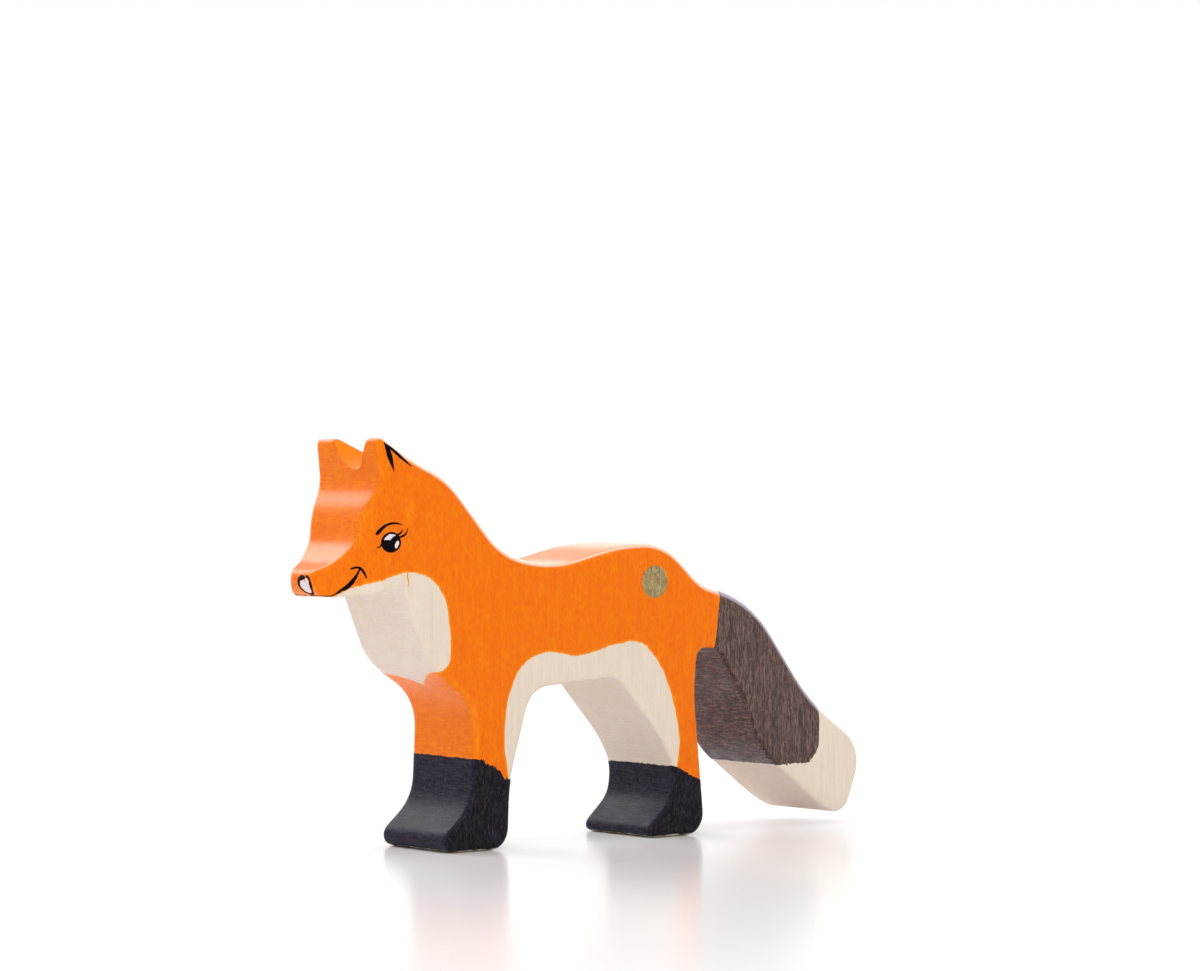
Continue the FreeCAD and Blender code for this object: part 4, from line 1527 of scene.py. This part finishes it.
# Facing values between which the painted highlight rises on arrises and on flat faces, and upward parts of
# the normal between which it does. The highlight is pale colour painted into the base colour by the angle of
# view, in place of the lamps' reflection along upward arrises and faces.
ARRIS_PAINTED_HIGHLIGHT_BAND = (0.29, 0.42)
FACE_PAINTED_HIGHLIGHT_BAND = (0.80, 0.92)
UPWARD_BAND = (0.05, 0.35)


class Graph:
    """Short way of writing the nodes of a material, a world or a node group."""

    def __init__(self, tree: bpy.types.NodeTree) -> None:
        """Start with the tree that gets the nodes."""
        self.tree = tree

    @classmethod
    def of(cls, owner: Material | bpy.types.World) -> "Graph":
        """Empty the nodes of a material or world.

        Args:
            owner: the material or world.

        Returns:
            Graph of its nodes.
        """
        owner.use_nodes = True
        owner.node_tree.nodes.clear()
        return cls(owner.node_tree)

    def node(self, kind: str, **settings: object) -> bpy.types.Node:
        """New node.

        Args:
            kind: Blender's name for the kind of node.
            settings: its settings by name.

        Returns:
            The node.
        """
        made = self.tree.nodes.new(kind)
        for name, value in settings.items():
            setattr(made, name, value)
        return made

    def group(self, name: str) -> bpy.types.Node:
        """New node that places a node group."""
        return self.node("ShaderNodeGroup", node_tree=bpy.data.node_groups[name])

    def feed(self, socket: Socket, value: object) -> None:
        """Link a socket to another one, or set its own value.

        Args:
            socket: input that is fed.
            value: an output of another node, or the value.
        """
        if isinstance(value, Socket):
            self.tree.links.new(value, socket)
        else:
            socket.default_value = value

    def math(self, operation: str, *values: Value, clamp: bool = False) -> Socket:
        """Result of a calculation.

        Args:
            operation: Blender's name for it.
            values: what it calculates with.
            clamp: whether the result is kept between 0 and 1.

        Returns:
            The result.
        """
        made = self.node("ShaderNodeMath", operation=operation, use_clamp=clamp)
        for socket, value in zip(made.inputs, values):
            self.feed(socket, value)
        return made.outputs[0]

    def blend(self, share: Value, first: object, second: object) -> Socket:
        """Mixture of two colours.

        Args:
            share: share of the second colour.
            first: colour where the share is 0.
            second: colour where it is 1.

        Returns:
            The mixture.
        """
        made = self.node("ShaderNodeMix", data_type="RGBA")
        for number, value in ((0, share), (6, first), (7, second)):
            self.feed(made.inputs[number], value)
        return made.outputs[2]

    def band(self, value: Value, low: float, high: float, first: float = 0.0, last: float = 1.0) -> Socket:
        """Value carried over smoothly from one range to another.

        Args:
            value: what is carried over.
            low: where the first range starts.
            high: where it ends.
            first: result at its start and before it.
            last: result at its end and beyond it.

        Returns:
            The result.
        """
        made = self.node("ShaderNodeMapRange", interpolation_type="SMOOTHSTEP")
        for socket, entry in zip(made.inputs, (value, low, high, first, last)):
            self.feed(socket, entry)
        return made.outputs[0]

    def away_from(self, middle: float, value: Value) -> Socket:
        """Distance of a value from a middle one."""
        return self.math("ABSOLUTE", self.math("SUBTRACT", value, middle))

    def noise(self, look: Noise) -> Socket:
        """Noise on the object.

        Args:
            look: size of its cells and what else it is made of.

        Returns:
            The noise's value.
        """
        places = self.node("ShaderNodeMapping")
        self.feed(places.inputs["Vector"], self.node("ShaderNodeTexCoord").outputs["Object"])
        places.inputs["Location"].default_value = (look.shift, look.shift, look.shift)
        places.inputs["Scale"].default_value = [1 / size for size in look.sizes]
        made = self.node("ShaderNodeTexNoise")
        self.feed(made.inputs["Vector"], places.outputs[0])
        made.inputs["Scale"].default_value = 1.0
        made.inputs["Detail"].default_value = look.detail
        made.inputs["Roughness"].default_value = look.rough
        return made.outputs["Fac"]

    def attribute(self, name: str) -> Socket:
        """Value that the mesh carries under a name."""
        return self.node("ShaderNodeAttribute", attribute_name=name).outputs["Fac"]

    def split(self, vector: Socket) -> Sockets:
        """X, Y and Z of a vector.

        Args:
            vector: the vector.

        Returns:
            Its three parts by name.
        """
        parts = self.node("ShaderNodeSeparateXYZ")
        self.feed(parts.inputs[0], vector)
        return parts.outputs

    def inputs(self, *names: str) -> Sockets:
        """Named inputs of a node group.

        Args:
            names: of the inputs.

        Returns:
            Their values by name.
        """
        for name in names:
            self.tree.interface.new_socket(name=name, in_out="INPUT", socket_type="NodeSocketFloat")
        return self.node("NodeGroupInput").outputs

    def outputs(self, **values: Socket) -> None:
        """Named outputs of a node group.

        Args:
            values: what each output puts out, by name.
        """
        end = self.node("NodeGroupOutput")
        for name, value in values.items():
            self.tree.interface.new_socket(name=name, in_out="OUTPUT", socket_type="NodeSocketFloat")
            self.feed(end.inputs[name], value)


@dataclass(frozen=True)
class BoardGrain:
    """Node group with the fibres, rings, pores, saw lines, specks and blotches of the board.

    Attributes:
        fibres: fine fibres along the board.
        flecks: short flecks between them.
        rings: broad streaks.
        blotches: uneven patches.
        pores: fine pores.
        pore_band: noise values between which a pore starts.
        specks: tiny specks.
        speck_band: noise values between which a speck starts.
        saw_lines: lines that the saw left on the sawn edge.
        edge_band: flank values between which the sawn edge passes into the planed face.
        groove_band: flank values between which the groove's painted lighter tone rises.
        arris_middle: flank value along the middle of the arris's line.
        arris_band: distances from it between which the line rises.
        breaks: noise that breaks the line up.
        break_band: noise values between which the line shows.
        flat_band: distances from the flank value 0.5 between which the arris passes into flat wood.
        sole_band: heights over the sole between which the sole's colour rises.
    """

    fibres: Noise = Noise((0.22 * MM, 0.30 * MM, 5 * MM), 3.0, 0.6)
    flecks: Noise = Noise((0.32 * MM, 0.36 * MM, 1.2 * MM), 4.0, 0.75, 4.4)
    rings: Noise = Noise((1.3 * MM, 3.0 * MM, 26 * MM), 3.0, 0.55, 3.7)
    blotches: Noise = Noise((2.6 * MM, 2.6 * MM, 4.5 * MM), 3.0, 0.6, 2.2)
    pores: Noise = Noise((0.13 * MM, 0.13 * MM, 1.1 * MM), 1.0, 0.5, 8.1)
    pore_band: Pair = (0.66, 0.74)
    specks: Noise = Noise((0.26 * MM, 0.26 * MM, 0.34 * MM), 1.0, 0.5, 5.9)
    speck_band: Pair = (0.68, 0.76)
    saw_lines: Noise = Noise((0.34 * MM, 3.0 * MM, 0.34 * MM), 3.0, 0.7, 1.3)
    edge_band: Pair = (0.1, 0.7)
    groove_band: Pair = (-0.15, -0.75)
    arris_middle: float = 0.45
    arris_band: Pair = (0.42, 0.12)
    breaks: Noise = Noise((0.8 * MM, 0.8 * MM, 2.4 * MM), 3.0, 0.7, 7.7)
    break_band: Pair = (0.40, 0.60)
    flat_band: Pair = (0.30, 0.49)
    sole_band: Pair = (0.45 * MM, 0.15 * MM)

    def build(self) -> None:
        """Make the node group, which is given the flank value of the surface."""
        graph = Graph(bpy.data.node_groups.new(GRAIN_GROUP, "ShaderNodeTree"))
        flank = graph.inputs("Flank")["Flank"]
        height = graph.split(graph.node("ShaderNodeTexCoord").outputs["Object"])["Z"]
        edge = graph.band(flank, *self.edge_band, 1.0, 0.0)
        arris = graph.band(graph.away_from(self.arris_middle, flank), *self.arris_band)
        unbroken = graph.band(graph.noise(self.breaks), *self.break_band)
        saw = graph.math("SUBTRACT", graph.noise(self.saw_lines), 0.5)
        graph.outputs(
            Fibre=graph.noise(self.fibres),
            Flecks=graph.noise(self.flecks),
            Groove=graph.band(flank, *self.groove_band),
            Arris=graph.math("MULTIPLY", arris, unbroken),
            Flat=graph.band(graph.away_from(0.5, flank), *self.flat_band),
            Sole=graph.band(height, *self.sole_band),
            Rings=graph.noise(self.rings),
            Pores=graph.band(graph.noise(self.pores), *self.pore_band),
            Saw=graph.math("MULTIPLY", saw, edge),
            Edge=edge,
            Specks=graph.band(graph.noise(self.specks), *self.speck_band),
            Blotch=graph.noise(self.blotches),
        )


@dataclass(frozen=True)
class CoatRim:
    """Node group with the ragged, thin rim of a coat along its edge.

    Attributes:
        waves: noise that makes the rim's width change.
        wave_band: noise values between which it changes.
        width_factors: least and largest width, as factors of the width given.
    """

    waves: Noise = Noise((0.4 * MM, 0.5 * MM, 1.6 * MM), 3.0, 0.6, 6.3)
    wave_band: Pair = (0.3, 0.7)
    width_factors: Pair = (0.3, 1.6)

    def build(self) -> None:
        """Make the node group, which is given the depth inside the coat and the rim's width."""
        graph = Graph(bpy.data.node_groups.new(RIM_GROUP, "ShaderNodeTree"))
        given = graph.inputs("Depth", "Width")
        factor = graph.band(graph.noise(self.waves), *self.wave_band, *self.width_factors)
        depth = graph.math("DIVIDE", given["Depth"], graph.math("MULTIPLY", given["Width"], factor))
        graph.outputs(Rim=graph.math("SUBTRACT", 1.0, depth, clamp=True))


@dataclass(frozen=True)
class Finish:
    """Look of wood or of a coat on it.

    Attributes:
        name: of the material.
        base: usual colour.
        light: colour of pale fibres and blotches.
        dark: colour of dark fibres.
        edge: usual colour on the sawn edge.
        speck: colour of the specks.
        rim: colour along the coat's edge.
        hollow: lighter, yellower colour painted in the groove between the ears, a painted highlight for the
            light that falls into it.
        arris: colour along the arrises.
        sole: colour beside the soles, on a finish without a rim.
        painted_highlight: pale colour painted on upward surfaces and arrises that turn away from the eye, a
            painted highlight in place of the lamps' reflection.
        arris_line: strength of the arris's colour.
        fibre: strength of the fibres' colours.
        flecks: strength of the short flecks' colours.
        rings: strength of the broad streaks' colours.
        saw: strength of the saw lines' colours.
        blotch: strength of the blotches.
        specks: strength of the specks.
        painted_highlight_strength: strength of the painted highlight.
        rim_width: width of the coat's rim, in millimetres.
        roughness: usual roughness.
        rough_spread: how far the roughness varies.
        relief: height of the fibres' relief.
        saw_relief: height of the saw lines' relief.
        pore_share: depth of the pores, as a share of the fibres' relief.
        ior: how strongly the surface reflects.
        metal: share of metal.
    """

    name: str
    base: Colour
    light: Colour
    dark: Colour
    edge: Colour
    speck: Colour
    rim: Colour = (255, 255, 255)
    # Lighter tone painted into the ear groove in place of the light that falls into it.
    hollow: Colour = (255, 150, 4)
    arris: Colour = (255, 255, 255)
    sole: Colour = (128, 112, 92)
    painted_highlight: Colour = (255, 255, 255)
    arris_line: float = 0.0
    fibre: float = 0.5
    flecks: float = 0.4
    rings: float = 0.4
    saw: float = 0.8
    blotch: float = 0.3
    specks: float = 0.3
    painted_highlight_strength: float = 0.0
    rim_width: float = 0.0
    roughness: float = 0.5
    rough_spread: float = 0.15
    relief: float = 0.02 * MM
    saw_relief: float = 0.03 * MM
    pore_share: float = 0.5
    ior: float = 1.35
    metal: float = 0.0

    def colour(self, graph: Graph, grain: Sockets) -> Socket:
        """Colour with grain, blotches, saw lines, specks and rim.

        Each row of the tints gives a value of the grain, where on it the tint starts and is full, and the
        tint's strength and colour.

        Args:
            graph: nodes of the material.
            grain: values of the board's grain.

        Returns:
            The colour.
        """
        tone = graph.blend(grain["Edge"], rendered(self.base), rendered(self.edge))
        # The groove gets a painted lighter tone, standing in for the light that falls into it.
        tone = graph.blend(grain["Groove"], tone, rendered(self.hollow))
        tints = (
            ("Blotch", 0.45, 0.75, self.blotch, self.light),
            ("Fibre", 0.50, 0.66, self.fibre, self.light),
            ("Fibre", 0.50, 0.34, self.fibre, self.dark),
            ("Flecks", 0.50, 0.64, self.flecks, self.light),
            ("Flecks", 0.50, 0.36, self.flecks, self.dark),
            ("Rings", 0.42, 0.70, self.rings, self.dark),
            ("Saw", 0.01, 0.13, self.saw, self.light),
            ("Saw", -0.01, -0.13, self.saw, self.dark),
        )
        for name, start, full, strength, tint in tints:
            tone = graph.blend(graph.band(grain[name], start, full, 0.0, strength), tone, rendered(tint))
        dots = graph.math("MAXIMUM", grain["Specks"], grain["Pores"])
        tone = graph.blend(graph.math("MULTIPLY", dots, self.specks), tone, rendered(self.speck))
        line = graph.math("MULTIPLY", grain["Arris"], self.arris_line)
        tone = graph.blend(line, tone, rendered(self.arris))
        if self.rim_width == 0:
            return graph.blend(grain["Sole"], tone, rendered(self.sole))
        rim = graph.group(RIM_GROUP)
        graph.feed(rim.inputs["Depth"], graph.attribute("edge_depth"))
        rim.inputs["Width"].default_value = self.rim_width
        return graph.blend(rim.outputs["Rim"], tone, rendered(self.rim))

    def with_painted_highlight(self, graph: Graph, grain: Sockets, tone: Socket) -> Socket:
        """Colour with a painted highlight: pale colour on upward surfaces and arrises that turn away from
        the eye, in place of the lamps' reflection.

        Args:
            graph: nodes of the material.
            grain: values of the board's grain.
            tone: colour without the painted highlight.

        Returns:
            Colour with the painted highlight.
        """
        # Painted highlight: pale colour mixed into the base colour where the surface turns away from the eye
        # and faces upward, standing in for the lamps' reflection.
        facing = graph.node("ShaderNodeLayerWeight").outputs["Facing"]
        rounded = graph.math("SUBTRACT", 1.0, grain["Flat"])
        on_arris = graph.math("MULTIPLY", graph.band(facing, *ARRIS_PAINTED_HIGHLIGHT_BAND), rounded)
        share = graph.math("MAXIMUM", graph.band(facing, *FACE_PAINTED_HIGHLIGHT_BAND), on_arris)
        upward = graph.split(graph.node("ShaderNodeNewGeometry").outputs["Normal"])["Z"]
        share = graph.math("MULTIPLY", share, graph.band(upward, *UPWARD_BAND))
        return graph.blend(graph.math("MULTIPLY", share, self.painted_highlight_strength), tone, rendered(self.painted_highlight))

    def bumped(self, graph: Graph, grain: Sockets) -> Socket:
        """Normal with the relief of fibres, saw lines and pores, which fades out on the arrises.

        Args:
            graph: nodes of the material.
            grain: values of the board's grain.

        Returns:
            The normal.
        """
        fibres = graph.math("ADD", grain["Fibre"], grain["Flecks"])
        relief = graph.math("MULTIPLY", fibres, self.relief)
        saw = graph.math("MULTIPLY", grain["Saw"], self.saw_relief)
        pits = graph.math("MULTIPLY", grain["Pores"], -self.pore_share * self.relief)
        height = graph.math("ADD", graph.math("ADD", relief, saw), pits)
        bump = graph.node("ShaderNodeBump")
        bump.inputs["Distance"].default_value = 1.0
        bump.inputs["Strength"].default_value = 1.0
        graph.feed(bump.inputs["Height"], graph.math("MULTIPLY", height, grain["Flat"]))
        return bump.outputs[0]

    def material(self) -> Material:
        """Make the material of the finish.

        Returns:
            The material.
        """
        material = bpy.data.materials.new(self.name)
        graph = Graph.of(material)
        board = graph.group(GRAIN_GROUP)
        graph.feed(board.inputs["Flank"], graph.attribute("flank"))
        grain = board.outputs
        shader = graph.node("ShaderNodeBsdfPrincipled")
        tone = self.colour(graph, grain)
        # Pale strip of painted highlight on upward arrises and faces, set by the angle of view.
        if self.painted_highlight_strength:
            tone = self.with_painted_highlight(graph, grain, tone)
        graph.feed(shader.inputs["Base Color"], tone)
        low = self.roughness - self.rough_spread
        high = self.roughness + self.rough_spread
        graph.feed(shader.inputs["Roughness"], graph.band(grain["Blotch"], *ROUGHNESS_BAND, low, high))
        shader.inputs["IOR"].default_value = self.ior
        shader.inputs["Metallic"].default_value = self.metal
        graph.feed(shader.inputs["Normal"], self.bumped(graph, grain))
        output = graph.node("ShaderNodeOutputMaterial")
        graph.feed(output.inputs["Surface"], shader.outputs[0])
        return material


BARE_WOOD = Finish(
    name="bare_wood",
    base=(234, 218, 199),
    light=(241, 229, 214),
    dark=(219, 197, 172),
    edge=(225, 208, 197),
    speck=(200, 174, 144),
    fibre=0.30,
    flecks=0.12,
    rings=0.30,
    saw=0.25,
    specks=0.20,
    roughness=0.55,
    relief=0.008 * MM,
    saw_relief=0.012 * MM,
)
ORANGE_STAIN = Finish(
    name="orange_stain",
    base=(247, 116, 0),
    light=(253, 140, 0),
    dark=(236, 98, 0),
    edge=(242, 118, 0),
    speck=(212, 74, 0),
    rim=(255, 150, 0),
    arris=(255, 158, 20),
    # Pale pinkish colour of the painted highlight on upward arrises and faces.
    painted_highlight=(255, 206, 178),
    arris_line=0.4,
    fibre=0.2,
    flecks=0.6,
    rings=0.3,
    saw=0.6,
    blotch=0.6,
    painted_highlight_strength=0.92,
    rim_width=0.5,
    roughness=0.27,
    rough_spread=0.03,
    relief=0.004 * MM,
    saw_relief=0.007 * MM,
    ior=1.22,
)
BLACK_PAINT = Finish(
    name="black_paint",
    base=(22, 17, 22),
    light=(56, 52, 66),
    dark=(8, 5, 9),
    edge=(32, 30, 46),
    # Pale bluish specks: painted glints, the sparkle of light on the satin black drawn into its colour.
    speck=(96, 92, 108),
    rim=(40, 30, 22),
    # Pale grey colour of the painted highlight on upward arrises and faces.
    painted_highlight=(150, 145, 165),
    fibre=0.15,
    flecks=0.7,
    rings=0.1,
    saw=0.7,
    specks=0.45,
    painted_highlight_strength=0.5,
    rim_width=0.16,
    roughness=0.46,
    rough_spread=0.03,
    relief=0.030 * MM,
    saw_relief=0.02 * MM,
    ior=1.18,
)
BROWN_STAIN = Finish(
    name="brown_stain",
    base=(86, 64, 59),
    light=(152, 123, 112),
    dark=(42, 30, 29),
    edge=(76, 62, 73),
    speck=(150, 128, 118),
    rim=(64, 48, 42),
    arris=(44, 31, 30),
    # Pale lilac grey colour of the painted highlight on upward arrises and faces.
    painted_highlight=(176, 166, 180),
    arris_line=0.75,
    fibre=0.65,
    flecks=0.5,
    rings=0.35,
    saw=0.55,
    blotch=0.2,
    specks=0.2,
    painted_highlight_strength=0.85,
    rim_width=0.4,
    roughness=0.42,
    relief=0.014 * MM,
    saw_relief=0.016 * MM,
    ior=1.30,
)
BLACK_INK = Finish(
    name="black_ink",
    base=(12, 4, 9),
    light=(26, 18, 22),
    dark=(7, 2, 5),
    edge=(26, 22, 30),
    speck=(40, 30, 32),
    rim=(40, 20, 12),
    fibre=0.2,
    flecks=0.2,
    rings=0.1,
    saw=0.2,
    specks=0.1,
    rim_width=0.03,
    roughness=0.55,
    relief=0.004 * MM,
    saw_relief=0.004 * MM,
    ior=1.12,
)
WHITE_INK = Finish(
    name="white_ink",
    base=(232, 226, 230),
    light=(242, 238, 242),
    dark=(204, 196, 204),
    edge=(226, 218, 224),
    speck=(206, 198, 204),
    rim=(196, 186, 190),
    fibre=0.2,
    flecks=0.3,
    rings=0.1,
    saw=0.3,
    rim_width=0.06,
    roughness=0.55,
    relief=0.006 * MM,
    saw_relief=0.006 * MM,
)
GOLD_PAINT = Finish(
    name="gold_paint",
    base=(152, 130, 84),
    light=(204, 184, 134),
    dark=(112, 92, 56),
    edge=(160, 138, 88),
    speck=(226, 210, 166),
    rim=(128, 104, 60),
    fibre=0.2,
    flecks=0.6,
    rings=0.2,
    blotch=0.4,
    specks=0.9,
    rim_width=0.2,
    roughness=0.4,
    metal=0.3,
)


@dataclass(frozen=True)
class Finishes:
    """Materials of all finishes.

    Attributes:
        wood: of the bare figure.
        orange: of the stain on head, body and legs.
        black: of the socks.
        brown: of the tail.
        ink: of the black marks.
        chalk: of the white marks.
        gold: of the spot.
    """

    wood: Material
    orange: Material
    black: Material
    brown: Material
    ink: Material
    chalk: Material
    gold: Material

    @classmethod
    def mixed(cls) -> "Finishes":
        """Make all materials, with the node groups that they share.

        Returns:
            The materials.
        """
        BoardGrain().build()
        CoatRim().build()
        looks = (BARE_WOOD, ORANGE_STAIN, BLACK_PAINT, BROWN_STAIN, BLACK_INK, WHITE_INK, GOLD_PAINT)
        return cls(*[look.material() for look in looks])


@dataclass
class Studio:
    """White floor, white surroundings, soft lamps and camera.

    Attributes:
        floor_size: side of the floor.
        floor_white: brightness of its colour.
        floor_roughness: its roughness.
        floor_ior: how strongly it reflects.
        fade: distances from the figure between which the floor passes into the surroundings.
        surround: strength of the surroundings' light on the object.
        lamps: name, place, side and watts of each lamp.
        aim: place that the lamps shine on.
        camera_place: place of the camera.
        camera_forward: direction in which it looks.
        focal_length: of its lens, in millimetres.
        sensor_width: of the camera, in millimetres.
    """

    floor_size: float = 6.0
    floor_white: float = 0.93
    floor_roughness: float = 0.2
    floor_ior: float = 1.4
    fade: Pair = (0.10, 0.32)
    surround: float = 0.71
    lamps: tuple[tuple[str, Triple, float, float], ...] = (
        ("top_softbox", (-0.15, -0.25, 0.95), 0.80, 2.20),
        ("front_softbox", (-0.45, -0.75, 0.55), 0.70, 1.42),
        ("back_softbox", (-0.13, 0.76, 0.62), 0.48, 4.20),
        ("right_softbox", (0.80, 0.38, 0.45), 0.50, 3.00),
    )
    aim: Triple = (0, 0, 0.04)
    camera_place: Triple = (-0.4715, -0.5940, 0.0713)
    camera_forward: Triple = (0.6266, 0.7793, 0.0026)
    focal_length: float = 109.3
    sensor_width: float = 36.0

    def world(self) -> None:
        """White surroundings, whose light on the object is softer than they look."""
        world = bpy.data.worlds.new("white_studio")
        bpy.context.scene.world = world
        graph = Graph.of(world)
        rays = graph.node("ShaderNodeLightPath").outputs
        seen = graph.math("MAXIMUM", rays["Is Camera Ray"], rays["Is Glossy Ray"])
        mixed = graph.node("ShaderNodeMixShader")
        graph.feed(mixed.inputs[0], graph.math("MAXIMUM", seen, rays["Is Transmission Ray"]))
        for number, strength in ((1, self.surround), (2, 1.0)):
            light = graph.node("ShaderNodeBackground")
            light.inputs["Color"].default_value = (1, 1, 1, 1)
            light.inputs["Strength"].default_value = strength
            graph.feed(mixed.inputs[number], light.outputs[0])
        output = graph.node("ShaderNodeOutputWorld")
        graph.feed(output.inputs["Surface"], mixed.outputs[0])

    def floor(self) -> None:
        """Glossy white floor."""
        half = self.floor_size / 2
        mesh = bpy.data.meshes.new("floor")
        corners = [(-half, -half, 0), (half, -half, 0), (half, half, 0), (-half, half, 0)]
        mesh.from_pydata(corners, [], [(0, 1, 2, 3)])
        mesh.materials.append(self.floor_material())
        plane = bpy.data.objects.new("floor", mesh)
        bpy.context.scene.collection.objects.link(plane)

    def floor_material(self) -> Material:
        """Make the floor's glossy white, which passes into the surroundings away from the figure.

        Returns:
            The material.
        """
        material = bpy.data.materials.new("white_floor")
        graph = Graph.of(material)
        shader = graph.node("ShaderNodeBsdfPrincipled")
        shader.inputs["Base Color"].default_value = (self.floor_white, self.floor_white, self.floor_white, 1)
        shader.inputs["Roughness"].default_value = self.floor_roughness
        shader.inputs["IOR"].default_value = self.floor_ior
        plain = graph.node("ShaderNodeEmission")
        plain.inputs["Strength"].default_value = 1.0
        distance = graph.node("ShaderNodeVectorMath", operation="LENGTH")
        graph.feed(distance.inputs[0], graph.node("ShaderNodeTexCoord").outputs["Object"])
        away = graph.band(distance.outputs["Value"], *self.fade)
        camera_ray = graph.node("ShaderNodeLightPath").outputs["Is Camera Ray"]
        mixed = graph.node("ShaderNodeMixShader")
        graph.feed(mixed.inputs[0], graph.math("MULTIPLY", away, camera_ray))
        graph.feed(mixed.inputs[1], shader.outputs[0])
        graph.feed(mixed.inputs[2], plain.outputs[0])
        output = graph.node("ShaderNodeOutputMaterial")
        graph.feed(output.inputs["Surface"], mixed.outputs[0])
        return material

    @staticmethod
    def place(name: str, data: bpy.types.ID, at: Sequence[float], forward: Vector) -> bpy.types.Object:
        """Place a lamp or camera.

        Args:
            name: of the object.
            data: the lamp or camera.
            at: where it stands.
            forward: direction in which it looks.

        Returns:
            The object, linked to the scene.
        """
        placed = bpy.data.objects.new(name, data)
        placed.location = at
        placed.rotation_euler = forward.to_track_quat("-Z", "Y").to_euler()
        bpy.context.scene.collection.objects.link(placed)
        return placed

    def lamp(self, name: str, at: Sequence[float], size: float, power: float) -> None:
        """Square soft lamp that shines on the figure.

        Args:
            name: of the lamp.
            at: place of the lamp's middle.
            size: side of the lamp.
            power: in watts.
        """
        data = bpy.data.lights.new(name, "AREA")
        data.shape = "SQUARE"
        data.size = size
        data.energy = power
        self.place(name, data, at, Vector(self.aim) - Vector(at))

    def camera(self) -> None:
        """Camera of the photograph."""
        data = bpy.data.cameras.new("camera")
        data.lens = self.focal_length
        data.sensor_width = self.sensor_width
        bpy.context.scene.camera = self.place("camera", data, self.camera_place, Vector(self.camera_forward))

    def build(self) -> None:
        """Set up everything round the figure."""
        self.world()
        self.floor()
        for lamp in self.lamps:
            self.lamp(*lamp)
        self.camera()
        bpy.context.scene.view_settings.view_transform = "Standard"


def main() -> None:
    """Build the fox and its studio."""
    logging.basicConfig(level=logging.INFO, format="%(message)s")
    board = Board.from_frame()
    finishes = Finishes.mixed()
    skin = SawnFigure(board).make_skin()
    wood = make_piece("sawn_figure", skin.points, skin.triangles, {"flank": skin.flank}, finishes.wood)
    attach(wood, BODY)
    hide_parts("wood_blank")
    painter = Painter(skin)
    Coats(board).build(painter, finishes)
    for side in Side:
        FaceMarks(board, side).build(painter, finishes)
    NoseMark(board).build(painter, finishes)
    GoldSpot(board).build(painter, finishes)
    Studio().build()


if __name__ == "__main__":
    main()
